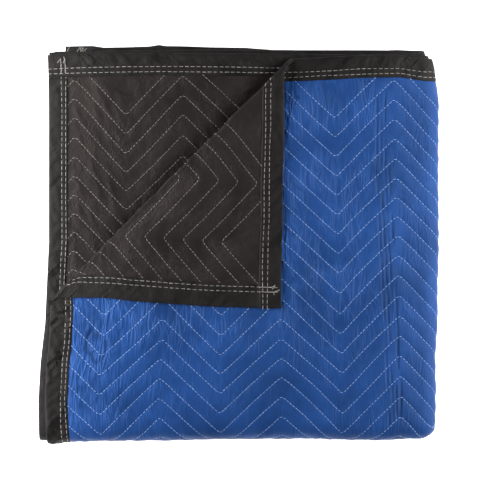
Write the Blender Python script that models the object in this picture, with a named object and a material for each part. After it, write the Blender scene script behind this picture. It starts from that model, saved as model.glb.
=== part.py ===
"""Quilted moving blanket, folded to a flat pack of sixteen layers with one corner turned back.

A blue face cloth and a black backing cloth are quilted together and bound on all four edges with
folded black tape.  Each piece is first made flat, as it is cut: u runs across the blanket from its
left edge, v down it from its top edge, and w up through its thickness, backing first.  The flat
pieces are creased along the fold lines, and every point then goes through the same four folds and
the turned-back corner, so that the layers nest round one another as the real ones do.

Metres, +Z up.  The origin is in the middle of the underside.
"""
import math
from collections import namedtuple

import bmesh
import bpy
from mathutils import Matrix, Vector

# The blanket, laid out flat.
WIDTH = 2.0385
LENGTH = 2.0580
THICKNESS = 0.0040        # one quilted layer: both cloths, each with half of the filling
PIECE_GAP = 0.0003        # clearance between pieces that touch

# The tape that binds the edges.
TAPE_COVER = 0.028        # reach over each side of the quilt
TAPE_WALL = 0.0006
TAPE_SLACK = 0.0009       # room between the quilt's edge and the fold of the tape
TAPE_OUT = TAPE_SLACK + TAPE_WALL
NIP_START = TAPE_COVER + 0.0005   # the quilt is pressed thinner from its edge to here
NIP_END = NIP_START + 0.0015      # and has its whole thickness from here
NIP_DEPTH = TAPE_WALL + PIECE_GAP

# The pack.  Each fold turns what lies beyond its line under the rest.
LAYER_GAP = 0.0005        # air between one layer and the next
ACROSS, ALONG = 0, 1      # u and v
Fold = namedtuple("Fold", "axis line layers facets")
PACK_WIDTH = 0.4865       # flat width of the top layer, up to its side fold
PACK_LENGTH = 0.4610      # flat length of the top layer, up to its end fold
FOLDS = (
    Fold(axis=ACROSS, line=1.0152, layers=1, facets=4),
    Fold(axis=ALONG, line=1.0135, layers=2, facets=4),
    Fold(axis=ACROSS, line=PACK_WIDTH, layers=4, facets=6),
    Fold(axis=ALONG, line=PACK_LENGTH, layers=8, facets=8),
)

# The turned-back corner rolls over along a slanted cone, wide at the top edge and tight at the left.
FLAP_REACH = 0.229        # from the corner to where the roll starts
FLAP_RADIUS_TOP = 0.0055  # clear radius inside the roll at the top edge
FLAP_RADIUS_LEFT = 0.0010
FLAP_FACETS = 6
FLAP_SETTLE = (0.025, 0.060)      # past the roll, where the flap sinks and where it lies down
FLAP_SLIP = 0.016         # the tip slips this far along the roll, towards the left edge
FLAP_SLIP_END = 0.130     # and the slip grows up to here

# The edges stray from straight: a row for each place along an edge, and how far out it lies there.
Stray = namedtuple("Stray", "along out")
LEFT_STRAY = (Stray(0.345, 0.0), Stray(0.395, 0.0035), Stray(0.440, 0.0045), Stray(0.590, 0.0),
              Stray(1.585, 0.0), Stray(LENGTH, -0.020))
RIGHT_STRAY = (Stray(0.240, 0.0), Stray(0.345, 0.005), Stray(0.395, 0.011), Stray(0.440, 0.013),
               Stray(0.590, 0.013), Stray(0.760, 0.0))
TOP_STRAY = (Stray(PACK_WIDTH, 0.0), Stray(WIDTH - PACK_WIDTH, 0.005), Stray(WIDTH, 0.003))
BOTTOM_STRAY = (Stray(0.0, 0.005), Stray(0.200, 0.004), Stray(0.330, -0.002),
                Stray(WIDTH - 0.200, 0.0), Stray(WIDTH, -0.003))
STRAY_FADE = 0.300        # an edge's stray has died out this far in

# The finished pack is a little out of square.
SKEW_START = 0.300
SIDE_SKEW = (0.0015, -0.0030)     # the side fold's shift at the pack's top and bottom
END_SKEW = (0.0040, -0.0010)      # the end fold's shift at the pack's left and right

FINISHES = {
    "blue_face": ((0.028, 0.095, 0.330), 0.62),
    "black_backing": ((0.022, 0.021, 0.020), 0.72),
    "black_binding": ((0.016, 0.016, 0.015), 0.66),
}


def slab_thickness(layers):
    """Thickness of a stack of folded layers with the air between them."""
    return layers * THICKNESS + (layers - 1) * LAYER_GAP


def bend_arc(fold):
    """Length of cloth that the outermost layer takes round a fold, at the middle of that layer."""
    return math.pi * (LAYER_GAP / 2 + slab_thickness(fold.layers) - THICKNESS / 2)


def ease(value, start, end):
    """Rise smoothly from 0 at start to 1 at end."""
    t = min(max((value - start) / (end - start), 0.0), 1.0)
    return t * t * (3 - 2 * t)


def read_stray(rows, along):
    """Interpolate a table of strays, level beyond both its ends."""
    if along <= rows[0].along:
        return rows[0].out
    for low, high in zip(rows, rows[1:]):
        if along <= high.along:
            share = (along - low.along) / (high.along - low.along)
            return low.out + share * (high.out - low.out)
    return rows[-1].out


def stray(point):
    """Move a flat point with the edges that stray from straight."""
    u, v = point.x, point.y
    point.x += read_stray(RIGHT_STRAY, v) * (1 - ease(WIDTH - u, NIP_END, STRAY_FADE))
    point.x -= read_stray(LEFT_STRAY, v) * (1 - ease(u, NIP_END, STRAY_FADE))
    point.y += read_stray(BOTTOM_STRAY, u) * (1 - ease(LENGTH - v, NIP_END, STRAY_FADE))
    point.y -= read_stray(TOP_STRAY, u) * (1 - ease(v, NIP_END, STRAY_FADE))


def fold_under(point, fold):
    """Turn what lies beyond the fold's line under the rest, and set the thicker slab on z = 0."""
    slab = slab_thickness(fold.layers)
    beyond = point[fold.axis] - fold.line
    z = point.z
    if beyond > 0:
        angle = math.pi * beyond / bend_arc(fold)
        if angle < math.pi:
            radius = z + LAYER_GAP / 2
            point[fold.axis] = fold.line + radius * math.sin(angle)
            z = radius * math.cos(angle) - LAYER_GAP / 2
        else:
            point[fold.axis] = fold.line - (beyond - bend_arc(fold))
            z = -LAYER_GAP - z
    point.z = z + slab + LAYER_GAP


def flap_radius(slant):
    """Clear radius of the corner's roll, at a distance along it from its middle to the top edge."""
    share = (slant / FLAP_REACH + 1) / 2
    return FLAP_RADIUS_LEFT + share * (FLAP_RADIUS_TOP - FLAP_RADIUS_LEFT)


def turn_back(point, pack_top):
    """Roll a point of the top layer's corner up and over, black side up."""
    beyond = FLAP_REACH - (point.x + point.y) / math.sqrt(2)
    if beyond <= 0:
        return
    slant = (point.x - point.y) / math.sqrt(2)
    radius = flap_radius(slant)
    depth = pack_top - point.z
    arc = math.pi * (radius + THICKNESS / 2)
    if beyond < arc:
        angle = math.pi * beyond / arc
        rolled = (radius + depth) * math.sin(angle)
        point.z = pack_top + radius - (radius + depth) * math.cos(angle)
    else:
        rolled = arc - beyond
        open_share = 1 - ease(beyond - arc, 0.0, FLAP_SETTLE[-1])
        point.z = pack_top + depth + LAYER_GAP + (2 * radius - LAYER_GAP) * open_share
        slant -= FLAP_SLIP * ease(beyond - arc, 0.0, FLAP_SLIP_END)
    inward = FLAP_REACH - rolled
    point.x = (inward + slant) / math.sqrt(2)
    point.y = (inward - slant) / math.sqrt(2)


def skew(point):
    """Push the side fold and the end fold a little out of square."""
    side = SIDE_SKEW[0] + (SIDE_SKEW[1] - SIDE_SKEW[0]) * point.y / PACK_LENGTH
    end = END_SKEW[0] + (END_SKEW[1] - END_SKEW[0]) * point.x / PACK_WIDTH
    side *= ease(point.x, SKEW_START, PACK_WIDTH)
    end *= ease(point.y, SKEW_START, PACK_LENGTH)
    point.x += side
    point.y += end


def folded(flat):
    """Where a point (u, v, w) of the flat blanket lies in the pack."""
    point = Vector(flat)
    stray(point)
    in_corner = point.x + point.y < FLAP_REACH * math.sqrt(2)
    for fold in FOLDS:
        fold_under(point, fold)
    if in_corner:
        turn_back(point, slab_thickness(2 * FOLDS[-1].layers))
    skew(point)
    return Vector((point.x, -point.y, point.z))


def bend_lines(fold):
    """Places, on the slab that is folded, of the creases that make up one bend."""
    return [fold.line + bend_arc(fold) * step / fold.facets for step in range(fold.facets + 1)]


def crease_places(axis):
    """Places along one axis of the flat cloth of all creases that run straight across it."""
    first, second = (fold for fold in FOLDS if fold.axis == axis)
    places = bend_lines(first)
    for line in bend_lines(second):
        places += [line, 2 * first.line + bend_arc(first) - line]
    far_edge = (WIDTH, LENGTH)[axis]
    for inset in (NIP_START, NIP_END):
        places += [inset, far_edge - inset]
    return places


def cut(mesh, place, normal, wanted=lambda middle: True):
    """Cut the wanted faces of a flat piece along one upright plane."""
    faces = [face for face in mesh.faces if wanted(face.calc_center_median())]
    edges = {edge for face in faces for edge in face.edges}
    verts = {vert for face in faces for vert in face.verts}
    bmesh.ops.bisect_plane(mesh, geom=[*faces, *edges, *verts], dist=1e-7,
                           plane_co=place, plane_no=normal)


def crease(mesh):
    """Cut a flat piece along every line where it is folded, nipped or strays."""
    for axis in (ACROSS, ALONG):
        normal = Vector((1 - axis, axis, 0))
        for place in crease_places(axis):
            cut(mesh, place * normal, normal)
    for row in LEFT_STRAY[:3]:
        cut(mesh, (0, row.along, 0), (0, 1, 0), lambda middle: middle.x < PACK_WIDTH)
    for row in RIGHT_STRAY:
        cut(mesh, (0, row.along, 0), (0, 1, 0), lambda middle: middle.x > WIDTH - PACK_WIDTH)
    for row in BOTTOM_STRAY[1:-1]:
        cut(mesh, (row.along, 0, 0), (1, 0, 0), lambda middle: middle.y > LENGTH - PACK_LENGTH)
    crease_corner(mesh)


def crease_corner(mesh):
    """Cut the top layer's corner along the straight lines of its cone-shaped roll."""
    middle_arc = math.pi * (flap_radius(0) + THICKNESS / 2)
    spread = math.pi * (FLAP_RADIUS_TOP - FLAP_RADIUS_LEFT) / (2 * FLAP_REACH)
    lines = [(step / FLAP_FACETS, 0.0) for step in range(FLAP_FACETS + 1)]
    lines += [(1.0, past) for past in FLAP_SETTLE]
    for share, past in lines:
        from_corner = (FLAP_REACH - share * middle_arc - past) / math.sqrt(2)
        normal = Vector((1 + share * spread, 1 - share * spread, 0)).normalized()
        cut(mesh, (from_corner, from_corner, 0), normal,
            lambda middle: middle.x < PACK_WIDTH and middle.y < PACK_LENGTH)


def flat_cloth(low, high):
    """Make a cloth between two heights of the quilt, pressed thinner where the tape covers it."""
    mesh = bmesh.new()
    size = Vector((WIDTH, LENGTH, high - low))
    middle = Vector((WIDTH / 2, LENGTH / 2, (low + high) / 2))
    bmesh.ops.create_cube(mesh, size=1, matrix=Matrix.Translation(middle) @ Matrix.Diagonal(size).to_4x4())
    crease(mesh)
    nip_line = (NIP_START + NIP_END) / 2
    for vert in mesh.verts:
        u, v, w = vert.co
        if min(u, WIDTH - u, v, LENGTH - v) < nip_line:
            vert.co.z = min(max(w, NIP_DEPTH), THICKNESS - NIP_DEPTH)
    return mesh


def flat_tape(start, end, outward):
    """Make one channel of folded tape along an edge of the flat quilt, from start to end."""
    start, end, outward = Vector(start), Vector(end), Vector(outward)
    up = Vector((0, 0, 1))
    profile = (
        (-TAPE_COVER, 0.0), (TAPE_OUT, 0.0), (TAPE_OUT, THICKNESS), (-TAPE_COVER, THICKNESS),
        (-TAPE_COVER, THICKNESS - TAPE_WALL), (TAPE_SLACK, THICKNESS - TAPE_WALL),
        (TAPE_SLACK, TAPE_WALL), (-TAPE_COVER, TAPE_WALL),
    )
    mesh = bmesh.new()
    outline = [mesh.verts.new(start + out * outward + height * up) for out, height in profile]
    cap = mesh.faces.new(outline)
    swept = bmesh.ops.extrude_face_region(mesh, geom=[cap], use_keep_orig=True)["geom"]
    moved = [item for item in swept if isinstance(item, bmesh.types.BMVert)]
    bmesh.ops.translate(mesh, verts=moved, vec=end - start)
    crease(mesh)
    return mesh


def fold_up(name, mesh, finish):
    """Fold a flat piece into its place in the pack and make it an object."""
    bmesh.ops.recalc_face_normals(mesh, faces=mesh.faces)
    bmesh.ops.triangulate(mesh, faces=mesh.faces, quad_method="SHORT_EDGE", ngon_method="BEAUTY")
    for vert in mesh.verts:
        vert.co = folded(vert.co)
    bmesh.ops.reverse_faces(mesh, faces=mesh.faces)     # v runs down, and +Y up
    data = bpy.data.meshes.new(name)
    mesh.to_mesh(data)
    mesh.free()
    data.materials.append(finish)
    return bpy.data.objects.new(name, data)


def make_finish(name, colour, roughness):
    """Make a plain Principled material."""
    finish = bpy.data.materials.new(name)
    finish.use_nodes = True
    shader = finish.node_tree.nodes["Principled BSDF"]
    shader.inputs["Base Color"].default_value = (*colour, 1)
    shader.inputs["Roughness"].default_value = roughness
    shader.inputs["Metallic"].default_value = 0.0
    return finish


def set_on_origin(objects):
    """Move all the meshes together, so that the pack's underside is centred on the origin."""
    points = [vert.co for item in objects for vert in item.data.vertices]
    low = Vector([min(point[axis] for point in points) for axis in range(3)])
    high = Vector([max(point[axis] for point in points) for axis in range(3)])
    shift = Matrix.Translation(-Vector(((low.x + high.x) / 2, (low.y + high.y) / 2, low.z)))
    for item in objects:
        item.data.transform(shift)


def build_blanket():
    """Make the six pieces and put them in one collection."""
    finishes = {name: make_finish(name, *look) for name, look in FINISHES.items()}
    cloth_split = THICKNESS / 2
    butt = TAPE_COVER + PIECE_GAP
    pieces = [
        fold_up("face_cloth", flat_cloth(cloth_split + PIECE_GAP / 2, THICKNESS), finishes["blue_face"]),
        fold_up("backing_cloth", flat_cloth(0.0, cloth_split - PIECE_GAP / 2), finishes["black_backing"]),
    ]
    tapes = {
        "binding_top": ((-TAPE_OUT, 0, 0), (WIDTH + TAPE_OUT, 0, 0), (0, -1, 0)),
        "binding_bottom": ((-TAPE_OUT, LENGTH, 0), (WIDTH + TAPE_OUT, LENGTH, 0), (0, 1, 0)),
        "binding_left": ((0, butt, 0), (0, LENGTH - butt, 0), (-1, 0, 0)),
        "binding_right": ((WIDTH, butt, 0), (WIDTH, LENGTH - butt, 0), (1, 0, 0)),
    }
    for name, run in tapes.items():
        pieces.append(fold_up(name, flat_tape(*run), finishes["black_binding"]))
    set_on_origin(pieces)
    collection = bpy.data.collections.new("moving_blanket")
    bpy.context.scene.collection.children.link(collection)
    for piece in pieces:
        collection.objects.link(piece)


for leftover in list(bpy.data.objects):
    bpy.data.objects.remove(leftover)
build_blanket()
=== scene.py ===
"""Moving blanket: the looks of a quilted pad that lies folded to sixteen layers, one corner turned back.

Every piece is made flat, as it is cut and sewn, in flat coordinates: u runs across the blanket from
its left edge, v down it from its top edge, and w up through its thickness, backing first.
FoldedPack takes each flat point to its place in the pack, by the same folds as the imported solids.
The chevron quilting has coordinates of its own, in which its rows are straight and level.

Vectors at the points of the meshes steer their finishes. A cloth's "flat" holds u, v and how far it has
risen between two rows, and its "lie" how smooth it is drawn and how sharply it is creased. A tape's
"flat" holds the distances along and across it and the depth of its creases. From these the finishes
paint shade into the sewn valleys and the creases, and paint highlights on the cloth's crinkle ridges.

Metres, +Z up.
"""
import sys

import logging
import math
from dataclasses import dataclass, field
from enum import Enum, IntEnum, auto

import bpy
import numpy as np
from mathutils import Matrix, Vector
from mathutils.geometry import delaunay_2d_cdt


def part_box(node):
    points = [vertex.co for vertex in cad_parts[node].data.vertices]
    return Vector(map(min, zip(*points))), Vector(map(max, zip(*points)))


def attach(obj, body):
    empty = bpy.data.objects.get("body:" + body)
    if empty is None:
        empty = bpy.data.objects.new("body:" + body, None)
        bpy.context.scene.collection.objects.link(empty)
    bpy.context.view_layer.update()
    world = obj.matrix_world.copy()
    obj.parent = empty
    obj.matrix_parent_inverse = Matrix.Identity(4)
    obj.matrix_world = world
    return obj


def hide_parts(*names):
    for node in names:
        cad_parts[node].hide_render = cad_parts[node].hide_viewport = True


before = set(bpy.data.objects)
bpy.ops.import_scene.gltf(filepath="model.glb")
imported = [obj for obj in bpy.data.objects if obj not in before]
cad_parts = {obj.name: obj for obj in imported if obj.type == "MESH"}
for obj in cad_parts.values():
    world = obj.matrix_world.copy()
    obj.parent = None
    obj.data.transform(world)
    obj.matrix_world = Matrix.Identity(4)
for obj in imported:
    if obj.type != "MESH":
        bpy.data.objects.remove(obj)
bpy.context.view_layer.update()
LOG = logging.getLogger("moving_blanket")

WIDTH = 2.0385  # of the flat blanket, without the fold of its tape
LENGTH = 2.0580
THICKNESS = 0.0040  # one quilted layer where it is fullest
MIDDLE = THICKNESS / 2  # w where the two cloths meet
LAYER_GAP = 0.0005  # air between one folded layer and the next
PACK_WIDTH = 0.4865  # flat width of the top layer, up to its side fold
PACK_LENGTH = 0.4610  # flat length of the top layer, up to its end fold
ROW_PITCH = 0.0254  # from one row of quilting to the next
STEP = ROW_PITCH / 4  # ordinary spacing of the meshes
ROOT_TWO = math.sqrt(2)
NEVER = math.inf  # a lattice axis that a direction doesn't change

Array = np.ndarray
Piece = bpy.types.Object
Span = tuple[float, float]  # where something starts and where it ends
Colour = tuple[float, float, float]


class Axis(IntEnum):
    """The two directions on the flat blanket."""

    ACROSS = 0
    ALONG = 1


class Side(Enum):
    """The two sides of the blanket, with the way each faces along w."""

    FACE = 1
    BACKING = -1


class Mark(Enum):
    """The places across a tape that its section is measured from."""

    EDGE = auto()  # the quilt's edge
    FIRST_ROW = auto()
    BETWEEN_ROWS = auto()
    SECOND_ROW = auto()
    PAST_ROWS = auto()  # midway from the second row to the inner edge
    INNER_EDGE = auto()


def ease(value: Array, start: float, end: float) -> Array:
    """Rise smoothly from 0 at the start to 1 at the end, and give the share reached at each value."""
    share = np.clip((value - start) / (end - start), 0.0, 1.0)
    return share * share * (3 - 2 * share)


def sharp_line(distance: Array, half_width: float) -> Array:
    """Give 1 on a line, falling evenly to 0 at half its width to either side."""
    return np.clip(1 - np.abs(distance) / half_width, 0, 1)


def bend_size(out: Array, up: Array, squareness: float) -> Array:
    """Give what a bend's radius is divided by in one direction, 2 being a round bend."""
    return (np.abs(out) ** squareness + np.abs(up) ** squareness) ** (1 / squareness)


def stack_height(layers: int) -> float:
    """Give the height of a stack of folded layers with the air between them."""
    return layers * THICKNESS + (layers - 1) * LAYER_GAP


def slantwise(x: Array, y: Array) -> Array:
    """Give the distance from the top left corner, square to the turned-back corner's crest."""
    return (x + y) / ROOT_TWO


def within(flat: Array, across: Span, along: Span) -> Array:
    """Say which flat u, v rows lie in a rectangle, from its ends across and along the blanket."""
    u, v = flat[:, 0], flat[:, 1]
    return (u > across[0]) & (u < across[1]) & (v > along[0]) & (v < along[1])


@dataclass(frozen=True)
class Band:
    """A stretch that rises from 0 to 1 over one span and falls back to 0 over another."""

    rise: Span
    fall: Span

    def at(self, place: Array) -> Array:
        """Give the share reached at each place."""
        return ease(place, *self.rise) * (1 - ease(place, *self.fall))


@dataclass(frozen=True)
class Course:
    """A value that changes from place to place: straight between those given, level beyond them."""

    places: tuple[float, ...]
    values: tuple[float, ...]

    def at(self, place: Array) -> Array:
        """Give the value at each place."""
        return np.interp(place, self.places, self.values)


class SmoothNoise:
    """Seeded noise on a plane, from -1 to 1, smooth from one lattice point to the next."""

    SIZE = 128

    def __init__(self, seed: int) -> None:
        """Draw the lattice, which the same seed makes the same."""
        self.lattice = np.random.default_rng(seed).uniform(-1, 1, (self.SIZE, self.SIZE))

    def _point(self, column: Array, row: Array) -> Array:
        """Give the lattice's values, which repeat past its end."""
        return self.lattice[column % self.SIZE, row % self.SIZE]

    def at(self, x: Array, y: Array) -> Array:
        """Read the noise.

        Args:
            x: first coordinates, in lattice steps.
            y: second coordinates, in lattice steps.

        Returns:
            The noise at each place.
        """
        column, row = np.floor(x).astype(int), np.floor(y).astype(int)
        across, down = ease(x - column, 0, 1), ease(y - row, 0, 1)
        sides = []
        for side in (column, column + 1):
            start = self._point(side, row)
            sides.append(start + (self._point(side, row + 1) - start) * down)
        return sides[0] + (sides[1] - sides[0]) * across


@dataclass(frozen=True)
class Lattice:
    """How a noise lies on the cloth: how far x and y each go for one step of either of its axes."""

    first: Span
    second: Span
    start: Span = (0.0, 0.0)  # the lattice point at x = y = 0

    def read(self, noise: SmoothNoise, x: Array, y: Array, shift: Span = (0.0, 0.0)) -> Array:
        """Read a noise on the cloth.

        Args:
            noise: the noise.
            x: distances one way, such as u, or along a tape.
            y: distances the other way, such as v, or across a tape.
            shift: how much further on the lattice to read.

        Returns:
            The noise at each place.
        """
        column = x / self.first[0] + y / self.first[1] + (self.start[0] + shift[0])
        row = x / self.second[0] + y / self.second[1] + (self.start[1] + shift[1])
        return noise.at(column, row)


@dataclass(frozen=True)
class Fold:
    """One fold of the slab: what lies beyond its line turns under the rest."""

    axis: Axis
    line: float
    layers: int
    squareness: float = 2.0  # 2 bends round; more keeps the layers level for longer

    def arc(self) -> float:
        """Give the length of the bend, at the middle of its outermost layer."""
        return math.pi * (LAYER_GAP / 2 + stack_height(self.layers) - THICKNESS / 2)

    def turn_under(self, points: Array) -> None:
        """Fold the points, and set the thicker slab on z = 0.

        Args:
            points: an array of x, y, z rows, changed in place.
        """
        beyond = points[:, self.axis] - self.line
        height = points[:, 2].copy()
        angle = math.pi * beyond / self.arc()
        bending, under = (angle > 0) & (angle < math.pi), angle >= math.pi
        out, up = np.sin(angle), np.cos(angle)
        radius = (height + LAYER_GAP / 2) / bend_size(out, up, self.squareness)
        turned = self.line + radius * out
        points[:, self.axis] = np.where(bending, turned, points[:, self.axis])
        points[:, self.axis] = np.where(under, self.line - beyond + self.arc(), points[:, self.axis])
        height = np.where(bending, radius * up - LAYER_GAP / 2, height)
        height = np.where(under, -LAYER_GAP - points[:, 2], height)
        points[:, 2] = height + stack_height(self.layers) + LAYER_GAP


@dataclass(frozen=True)
class CornerRoll:
    """The top layer's corner, rolled up and over along a slanted cone, and pulled out of square."""

    reach: float = 0.229  # from the corner to where the roll starts
    radius_top: float = 0.0055  # clear radius inside the roll at the top edge
    radius_left: float = 0.0010
    sink_length: float = 0.060  # past the roll, where the flap comes down to lie flat
    squareness: float = 8.0  # of the roll's bend, as for a fold
    brim: float = 0.42  # share of its thickness that the flap has lost at its free edges
    brim_width: float = 0.030
    pressed: float = 0.50  # share of its height that the crest has lost at its left end
    pressed_width: float = 0.028  # how far in from the crest it is pressed
    pressed_more: float = 0.045  # and how much further at the very end
    pressed_more_fade: Span = (-0.200, -0.060)  # along the crest, from the corner's slant
    pressed_fade: Span = (-0.070, 0.060)
    pull_start: float = 0.030  # the pull is whole this far past the start of the roll
    pull_end: float = 0.090
    aside: Course = Course(  # the pull to the right, at places down the flap
        places=(0, 0.080, 0.160, 0.200, 0.224, 0.263, 0.315),
        values=(-0.0017, -0.0056, -0.0091, -0.0093, -0.0108, -0.0124, -0.0132))
    down: Course = Course(  # and down, at places across it
        places=(0.032, 0.052, 0.084, 0.117, 0.172, 0.224, 0.303),
        values=(-0.0120, -0.0102, -0.0060, -0.0006, 0.0042, 0.0084, 0.0120))

    def holds(self, points: Array) -> Array:
        """Say which flat points belong to the corner."""
        return points[:, 0] + points[:, 1] < self.reach * ROOT_TWO

    def press(self, points: Array, pack_top: float) -> None:
        """Squeeze the top layer and what lies on it along the crest, most at its left end.

        Args:
            points: the whole blanket's x, y, z rows, changed in place.
            pack_top: height of the top layer's upper face.
        """
        x, y, z = points.T
        floor = pack_top - THICKNESS - LAYER_GAP / 2
        inward = slantwise(x, y) - self.reach + THICKNESS
        slant = (x - y) / ROOT_TWO
        width = self.pressed_width + self.pressed_more * (1 - ease(slant, *self.pressed_more_fade))
        share = np.clip(inward / width, 0, 1)
        strength = self.pressed * (1 - ease(slant, *self.pressed_fade)) * (1 - ease(share, 0, 1))
        points[:, 2] = np.where(z > floor, floor + (z - floor) * (1 - strength), z)

    def turn_back(self, points: Array, pack_top: float) -> Array:
        """Roll the corner's points up and over, backing side up.

        Args:
            points: the corner's x, y, z rows, as they lie before it is turned.
            pack_top: height of the top layer's upper face.

        Returns:
            The turned points.
        """
        x, y, z = points.T
        beyond = self.reach - slantwise(x, y)
        slant = (x - y) / ROOT_TWO
        radius = self.radius_left + (slant / self.reach + 1) / 2 * (self.radius_top - self.radius_left)
        depth = pack_top - z
        arc = math.pi * (radius + THICKNESS / 2)
        past = beyond - arc
        rolling = past < 0
        angle = math.pi * beyond / arc
        out, up = np.sin(angle), np.cos(angle)
        bend = (radius + depth) / bend_size(out, up, self.squareness)
        opening = 1 - ease(past, 0, self.sink_length)
        brim = self.brim * (1 - ease(np.minimum(x, y), 0, self.brim_width)) * (1 - opening)
        lying = pack_top + (depth + LAYER_GAP) * (1 - brim) + (2 * radius - LAYER_GAP) * opening
        rolled = np.where(rolling, bend * out, -past)
        height = np.where(rolling, pack_top + radius - bend * up, lying)
        inward = self.reach - rolled
        x, y = (inward + slant) / ROOT_TWO, (inward - slant) / ROOT_TWO
        near, far = ease(beyond, 0, self.pull_start), ease(beyond, self.pull_start, self.pull_end)
        aside, down = self.aside.at(y) * near, self.down.at(x) * (near + far) / 2
        turned = np.stack([x + aside, y + down, height], axis=1)
        return np.where(beyond[:, None] > 0, turned, points)


@dataclass(frozen=True)
class Slump:
    """How the soft pack sinks towards its folds and edges, and under the turned-back corner."""

    side_limit: float = PACK_WIDTH + 0.015  # x where the side fold stands out most
    end_limit: float = PACK_LENGTH + 0.030  # and y where the end fold does
    side_share: float = 0.060  # lost by degrees towards the side fold
    side_start: float = 0.280
    end_share: float = 0.070  # and towards the end fold
    end_start: float = 0.280
    brim_share: float = 0.070  # lost in the last stretch before either fold
    brim_width: float = 0.080
    shoulder_share: float = 0.120  # and more, right beside the side fold
    shoulder_width: float = 0.052
    left_share: float = 0.105  # lost at the bound left edges
    left_width: float = 0.072
    top_share: float = 0.060  # and at the bound top edges
    top_width: float = 0.060
    knee: float = 0.020  # how gently each slope starts
    crest_share: float = 0.050  # lost under the crest of the turned-back corner
    crest_line: float = 0.226
    crest_width: float = 0.080
    crest_fade: float = 0.220
    crest_ends: Span = (-0.190, -0.020)  # along the crest, where that sets in
    dip_share: float = 0.050  # lost besides in the dip right at the crest
    dip_width: float = 0.027
    dip_fade: float = 0.060

    def slope(self, inset: Array, width: float) -> Array:
        """Give an even slope from 1 at no inset to 0 at the given width, with a gentle start."""
        spare = width - inset
        return (spare + np.hypot(spare, self.knee)) / (width + math.hypot(width, self.knee))

    def share(self, x: Array, y: Array) -> Array:
        """Give the share of its height that the pack keeps.

        Args:
            x: distance from the pack's left edge.
            y: distance from the pack's top edge.

        Returns:
            The share kept at each place.
        """
        kept = 1 - self.side_share * ease(x, self.side_start, self.side_limit)
        kept -= self.end_share * ease(y, self.end_start, self.end_limit)
        kept -= self.brim_share * self.slope(self.side_limit - x, self.brim_width)
        kept -= self.brim_share * self.slope(self.end_limit - y, self.brim_width)
        kept -= self.shoulder_share * self.slope(self.side_limit - x, self.shoulder_width)
        kept -= self.left_share * self.slope(x, self.left_width)
        kept -= self.top_share * self.slope(y, self.top_width)
        past = slantwise(x, y) - self.crest_line
        sag = np.where(past < 0, self.slope(-past, self.crest_width), 1 - ease(past, 0, self.crest_fade))
        dip = 1 - ease(np.where(past < 0, -past / self.dip_width, past / self.dip_fade), 0, 1)
        crest = self.crest_share * sag + self.dip_share * dip
        return kept - crest * ease((x - y) / ROOT_TWO, *self.crest_ends)


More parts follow.
